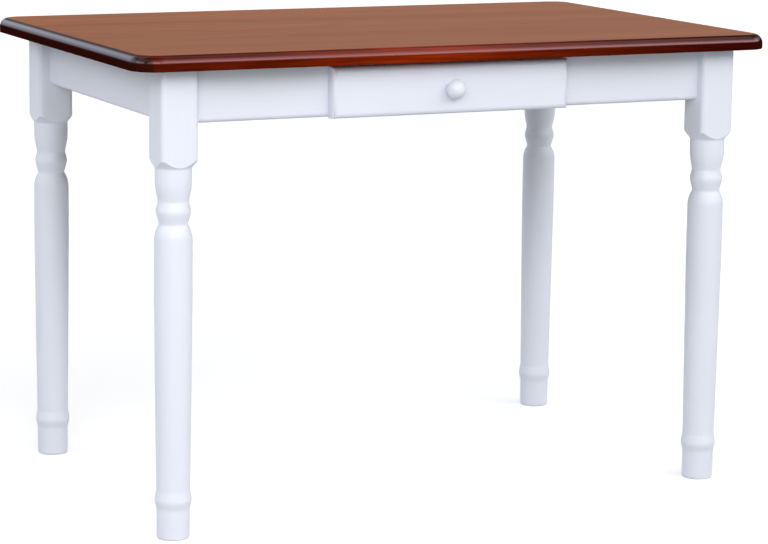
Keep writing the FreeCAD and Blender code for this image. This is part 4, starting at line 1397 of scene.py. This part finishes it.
@dataclass
class Fasteners:
    """Screws with cross recesses, hanger bolts with their threads, washers and nuts."""

    shop: Workshop
    bracket_edge: float = 0.35 * MM   # rounding of the brackets' edges
    screw_softened: float = 0.3 * MM
    screw_steps: int = 32
    # round head: its height, and shares of its radius and height along the dome
    head_height: float = 2.4 * MM
    dome_flat: float = 0.35
    dome_middle: tuple[float, float] = (0.82, 0.32)
    dome_edge: float = 0.92
    # cross recess: shares of the head's radius, and of its mouth left at its bottom
    recess_reach: float = 0.56
    recess_width: float = 0.16
    recess_bottom: float = 0.45
    recess_depth: float = 1.5 * MM
    # machine thread, whose flanks start and end at shares of the pitch
    pitch: float = 1.25 * MM
    thread_depth: float = 0.6 * MM
    thread_turns: int = 14
    thread_steps: int = 24
    flank_foot: float = 0.45
    flank_crest: float = 0.08
    washer_hole: float = 4.3 * MM     # radius
    washer_softened: float = 0.25 * MM
    nut_bore: float = 3.9 * MM        # radius
    nut_drop: float = 0.6             # chamfer's height, as a share of how far the corners stand out
    ring_steps: int = 48

    def recess(self, head_radius: float) -> bpy.types.Mesh:
        """Makes the cross-shaped cutter that narrows into a head.

        Args:
            head_radius: the head's radius.

        Returns:
            The cutter.
        """
        bm = bmesh.new()
        reach, width = head_radius * self.recess_reach, head_radius * self.recess_width
        size = Matrix.Diagonal((2 * reach, 2 * width, 2 * self.recess_depth, 1.0))
        for turn in (0.0, RIGHT_ANGLE):
            made = bmesh.ops.create_cube(bm, size=1.0, matrix=Matrix.Rotation(turn, 4, "Z") @ size)
            deep = [vert for vert in made["verts"] if vert.co.z > 0]
            bmesh.ops.scale(bm, vec=(self.recess_bottom, self.recess_bottom, 1.0), verts=deep)
        return to_mesh(bm, "recess")

    def screw(self, shank: Shank, countersunk: bool) -> bpy.types.Mesh:
        """Screw along +Z with its head's outer face at the origin.

        Args:
            shank: its size.
            countersunk: whether the head is flat on top, and not round.

        Returns:
            The screw's mesh.
        """
        wide, head = shank.wide, self.head_height
        core = wide / 2
        outline = HalfOutline(0.0, 0.0)
        if countersunk:
            outline.line(wide, 0.0)
            outline.line(core, wide - core, 1.0)
        else:
            across, rise = self.dome_middle
            outline.line(wide * self.dome_flat, 0.0)
            outline.arc((wide * across, head * rise), wide, head * self.dome_edge)
            outline.line(wide, head)
            outline.line(core, head)
        outline.line(core, shank.length - 2 * core)
        outline.line(0.0, shank.length)
        body = to_mesh(outline.spun(self.screw_softened, self.screw_steps), "screw")
        return boolean(body, self.recess(wide), "DIFFERENCE")

    def bolt(self, shank: Shank) -> BMesh:
        """Rod along +Z with a machine thread on the end that carries the nut.

        Args:
            shank: its size.

        Returns:
            The bolt.
        """
        core = shank.wide - self.thread_depth
        threaded = shank.length - self.thread_turns * self.pitch
        outline = HalfOutline(0.0, 0.0)
        outline.line(shank.wide, 0.0)
        outline.line(shank.wide, threaded - self.pitch)
        outline.line(core, threaded)
        outline.line(core, shank.length - self.thread_depth)
        outline.line(core - self.thread_depth, shank.length)
        outline.line(0.0, shank.length)
        bm = outline.spun(0.0, self.thread_steps)
        start = threaded - self.pitch / 2
        ridge = (
            (core, -self.flank_foot), (shank.wide, -self.flank_crest),
            (shank.wide, self.flank_crest), (core, self.flank_foot),
        )
        verts = [bm.verts.new((radius, 0.0, start + share * self.pitch)) for radius, share in ridge]
        edges = [bm.edges.new(pair) for pair in zip(verts, verts[1:])]
        climb = (0, 0, self.pitch / self.thread_steps)
        bmesh.ops.spin(
            bm, geom=verts + edges, cent=(0, 0, 0), axis=(0, 0, 1), dvec=climb,
            angle=FULL_TURN * self.thread_turns, steps=self.thread_steps * self.thread_turns,
            use_merge=False, use_duplicate=False,
        )
        bmesh.ops.recalc_face_normals(bm, faces=bm.faces)
        return bm

    def washer(self, shank: Shank) -> BMesh:
        """Flat ring with softened edges.

        Args:
            shank: its size.

        Returns:
            The washer.
        """
        hole, wide, thick = self.washer_hole, shank.wide, shank.length
        outline = HalfOutline(hole, 0.0)
        for radius, height in ((wide, 0.0), (wide, thick), (hole, thick), (hole, 0.0)):
            outline.line(radius, height, radius > hole)
        return outline.spun(self.washer_softened, self.ring_steps)

    def nut(self, shank: Shank) -> BMesh:
        """Hexagon nut with chamfered corners and a bored hole.

        Args:
            shank: its size.

        Returns:
            The nut.
        """
        bore, wide, thick = self.nut_bore, shank.wide, shank.length
        flat = wide * math.cos(FULL_TURN / 12)
        drop = (wide - flat) * self.nut_drop
        outline = HalfOutline(bore, 0.0)
        for radius, height in (
            (flat, 0.0), (wide, drop), (wide, thick - drop), (flat, thick), (bore, thick), (bore, 0.0),
        ):
            outline.line(radius, height)
        turned = to_mesh(outline.spun(0.0, self.ring_steps), "turned_nut")
        prism = bmesh.new()
        bmesh.ops.create_cone(prism, cap_ends=True, segments=6, radius1=wide, radius2=wide, depth=4 * thick)
        made = bmesh.new()
        made.from_mesh(boolean(turned, to_mesh(prism, "prism"), "INTERSECT"))
        return made

    def place_all(self, node: str, body: Body, made: bpy.types.Mesh, shanks: Sequence[Shank]) -> None:
        """Joins copies of one fastener, one at each place, into a node's piece.

        Args:
            node: CAD node that they stand for.
            body: body that they ride on.
            made: the fastener, along +Z from the origin.
            shanks: where the copies lie.
        """
        bm = bmesh.new()
        for shank in shanks:
            start = len(bm.verts)
            bm.from_mesh(made)
            bm.verts.ensure_lookup_table()
            bmesh.ops.transform(bm, matrix=aimed(shank.head, shank.way), verts=bm.verts[start:])
        self.shop.publish(node, to_mesh(bm, node), body, Slot.STEEL)

    def screws(self, node: str, body: Body, countersunk: bool) -> None:
        """Makes a group of like screws."""
        shanks = [shank_of(points, longest_axis(points)) for points in islands(node)]
        self.place_all(node, body, self.screw(shanks[0], countersunk), shanks)

    def on_corners(self, node: str, make: Callable[[Shank], BMesh]) -> None:
        """Makes a group of like pieces on the diagonals through the legs."""
        shanks = [shank_of(points, towards_middle(points), False) for points in islands(node)]
        self.place_all(node, Body.TABLE, to_mesh(make(shanks[0]), node), shanks)

    def build(self) -> None:
        """Makes every fastener."""
        round_heads = {
            "corner_block_screws": Body.TABLE, "bracket_screws": Body.TABLE, "knob_screw": Body.DRAWER,
        }
        flat_heads = {
            "kicker_screws": Body.TABLE, "stop_screws": Body.TABLE, "drawer_bottom_screws": Body.DRAWER,
        }
        for groups in (round_heads, flat_heads):
            for node, body in groups.items():
                self.screws(node, body, groups is flat_heads)
        makers = {"hanger_bolts": self.bolt, "bolt_washers": self.washer, "bolt_nuts": self.nut}
        for node, make in makers.items():
            self.on_corners(node, make)
        self.shop.soften_node("top_brackets", Body.TABLE, Slot.STEEL, Grain.LENGTH, self.bracket_edge)


# ---------------------------------------------------------------- studio
@dataclass
class Studio:
    """Floor, light and camera round the table."""

    floor_reach: float = 60.0
    floor_colour: Colour = (0.93, 0.93, 0.93)
    floor_bounce: Colour = (0.42, 0.42, 0.42)   # grey that the floor casts back as light
    floor_glow: float = 0.34        # own light that lifts the floor to white
    floor_roughness: float = 0.9
    camera_place: Triple = (-1.9354, -4.0717, 1.1683)
    camera_yaw: float = 0.4473
    camera_pitch: float = 0.1538
    camera_roll: float = 0.0128
    camera_drop: float = 80.0       # pixels that the lens is lowered by, so the legs stay upright
    lens_pixels: float = 2715.1     # focal length in pixels of the picture
    picture_width: float = 768.0
    sensor_width: float = 36.0      # millimetres
    camera_reach: float = 200.0
    # soft light all round, the window's light and the haze before the far curtain:
    # shares of the brightest level, by the sine of the height
    ring: Stops = ((0.0, 0.0), (0.20, 0.0), (0.36, 1.0), (0.50, 1.0), (0.68, 0.17), (0.88, 0.20), (0.95, 0.0))
    ring_light: float = 3.0
    window: Stops = ((0.0, 0.1), (0.09, 0.45), (0.18, 1.0), (0.28, 0.8), (0.36, 0.0))
    window_light: float = 1.0
    haze: Stops = ((0.0, 1.0), (0.19, 1.0), (0.30, 0.0))
    haze_light: float = 0.29
    window_tint: Colour = (0.84, 0.92, 1.10)
    # patches of the surroundings: the way to each, and the cosines of its outer and inner edge
    far_curtain: Patch = ((0.459, 0.734, 0.500), 0.80, 0.92)
    side_curtain: Patch = ((-0.609, -0.548, 0.574), 0.925, 0.972)
    right_curtain: Patch = ((0.785, 0.366, 0.500), 0.88, 0.96)
    window_patch: Patch = ((-0.554, 0.791, 0.259), 0.75, 0.88)
    # shares of the ring's light that the curtains and the window leave
    curtain_dim: float = 0.07
    right_dim: float = 0.30
    window_dim: float = 0.45
    softbox_place: Triple = (-1.9, -3.2, 2.0)
    softbox_target: Triple = (-0.3, -0.3, 0.5)
    softbox_size: float = 3.4
    softbox_level: float = 2.1
    lamp_spread: float = math.radians(30)   # angle that each distant lamp fills
    right_light_way: Triple = (0.450, -0.620, 0.643)
    right_light_level: float = 0.08
    back_light_way: Triple = (0.25, 0.97, 0.06)
    back_light_level: float = 0.36

    def floor(self) -> None:
        """Pale plain floor, which keeps the table's shadow."""
        bm = bmesh.new()
        bmesh.ops.create_grid(bm, x_segments=1, y_segments=1, size=self.floor_reach)
        mesh = to_mesh(bm, "studio_floor")
        piece = bpy.data.objects.new("studio_floor", mesh)
        bpy.context.scene.collection.objects.link(piece)
        shader = Shader("studio_floor")
        shader.material.cycles.emission_sampling = "NONE"
        mesh.materials.append(shader.material)
        path = shader.node("ShaderNodeLightPath", {}).outputs
        seen = shader.math("MAXIMUM", path["Is Camera Ray"], path["Is Glossy Ray"])
        seen = shader.math("MAXIMUM", seen, path["Is Transmission Ray"])
        base = shader.mix(seen, colour(self.floor_bounce), colour(self.floor_colour))
        glow = shader.math("MULTIPLY", seen, self.floor_glow)
        shader.finish(
            Base_Color=base, Roughness=self.floor_roughness, Specular_IOR_Level=0.0,
            Emission_Color=colour((1.0, 1.0, 1.0)), Emission_Strength=glow,
        )

    @staticmethod
    def within(wiring: Wiring, way: Socket, patch: Patch) -> Socket:
        """Tells how far a direction lies in a patch of the surroundings.

        Args:
            wiring: node tree to write in.
            way: the direction.
            patch: the patch.

        Returns:
            0 outside the patch, 1 well inside it.
        """
        middle, outer, inner = patch
        facing = wiring.node("ShaderNodeVectorMath", {0: way, 1: middle}, operation="DOT_PRODUCT")
        return wiring.span(facing.outputs["Value"], (outer, inner, 0.0, 1.0))

    def world(self) -> None:
        """Ring of soft light with three darker curtains, and a low window at the back."""
        world = bpy.data.worlds.new("studio_light")
        bpy.context.scene.world = world
        world.use_nodes = True
        wiring = Wiring(world.node_tree)
        way = wiring.node("ShaderNodeTexCoord", {}).outputs["Generated"]
        height = wiring.part(way, "Z")
        far = self.within(wiring, way, self.far_curtain)
        side = self.within(wiring, way, self.side_curtain)
        right = self.within(wiring, way, self.right_curtain)
        window = self.within(wiring, way, self.window_patch)
        level = wiring.math("MULTIPLY", wiring.ramp(height, self.ring), self.ring_light)
        dims = (
            (far, self.curtain_dim), (side, self.curtain_dim),
            (right, self.right_dim), (window, self.window_dim),
        )
        for share, left in dims:
            level = wiring.math("MULTIPLY", level, wiring.span(share, (0.0, 1.0, 1.0, left)))
        lights = ((far, self.haze, self.haze_light), (window, self.window, self.window_light))
        for share, stops, light in lights:
            patch = wiring.math("MULTIPLY", wiring.ramp(height, stops), light)
            level = wiring.math("MULTIPLY_ADD", patch, share, level)
        background = wiring.nodes["Background"]
        wiring.feed(background.inputs["Strength"], level)
        tint = wiring.mix(window, colour((1.0, 1.0, 1.0)), colour(self.window_tint))
        wiring.feed(background.inputs["Color"], tint)

    def lamp(self, name: str, away: Triple, level: float, mirrored: bool) -> None:
        """Soft distant lamp.

        Args:
            name: the lamp's name.
            away: direction in which the lamp lies.
            level: how brightly it lights a white face turned to it.
            mirrored: whether gloss shows the lamp.
        """
        light = bpy.data.lights.new(name, "SUN")
        light.energy = level * math.pi
        light.angle = self.lamp_spread
        lamp = bpy.data.objects.new(name, light)
        lamp.rotation_mode = "QUATERNION"
        lamp.rotation_quaternion = Vector(away).to_track_quat("Z", "Y")
        lamp.visible_glossy = mirrored
        bpy.context.scene.collection.objects.link(lamp)

    def softbox(self) -> None:
        """Large round lamp beside the camera, shining on the table."""
        light = bpy.data.lights.new("softbox", "AREA")
        light.shape = "DISK"
        light.size = self.softbox_size
        light.energy = self.softbox_level * math.pi * math.pi * (self.softbox_size / 2) ** 2
        lamp = bpy.data.objects.new("softbox", light)
        away = Vector(self.softbox_place) - Vector(self.softbox_target)
        lamp.matrix_world = aimed(Vector(self.softbox_place), away)
        lamp.visible_camera = False
        bpy.context.scene.collection.objects.link(lamp)

    def camera(self) -> None:
        """Camera with a long lens, before and left of the table."""
        yaw, pitch, roll = self.camera_yaw, self.camera_pitch, self.camera_roll
        ahead = Vector((
            math.sin(yaw) * math.cos(pitch), math.cos(yaw) * math.cos(pitch), -math.sin(pitch),
        ))
        level = Vector((math.cos(yaw), -math.sin(yaw), 0.0))
        above = level.cross(ahead)
        right = level * math.cos(roll) + above * math.sin(roll)
        upwards = right.cross(ahead)
        data = bpy.data.cameras.new("camera")
        data.sensor_width = self.sensor_width
        data.lens = self.lens_pixels * self.sensor_width / self.picture_width
        data.shift_y = -self.camera_drop / self.picture_width
        data.clip_end = self.camera_reach
        camera = bpy.data.objects.new("camera", data)
        bpy.context.scene.collection.objects.link(camera)
        turned = Matrix((right, upwards, -ahead)).transposed().to_4x4()
        camera.matrix_world = Matrix.Translation(self.camera_place) @ turned
        bpy.context.scene.camera = camera

    def build(self) -> None:
        """Sets up the studio."""
        self.floor()
        self.world()
        self.softbox()
        self.lamp("right_light", self.right_light_way, self.right_light_level, True)
        self.lamp("back_light", self.back_light_way, self.back_light_level, False)
        self.camera()
        bpy.context.scene.view_settings.view_transform = "Standard"


def main() -> None:
    """Builds the studio and every piece of the table."""
    logging.basicConfig(level=logging.INFO, format="%(name)s %(message)s")
    shop = Workshop(Wardrobe())
    Studio().build()
    for part in (TableTop, TurnedLeg, Aprons, Drawer, InnerWork, Fasteners):
        part(shop).build()
        LOG.info("%s done", part.__name__)


if __name__ == "__main__":
    main()
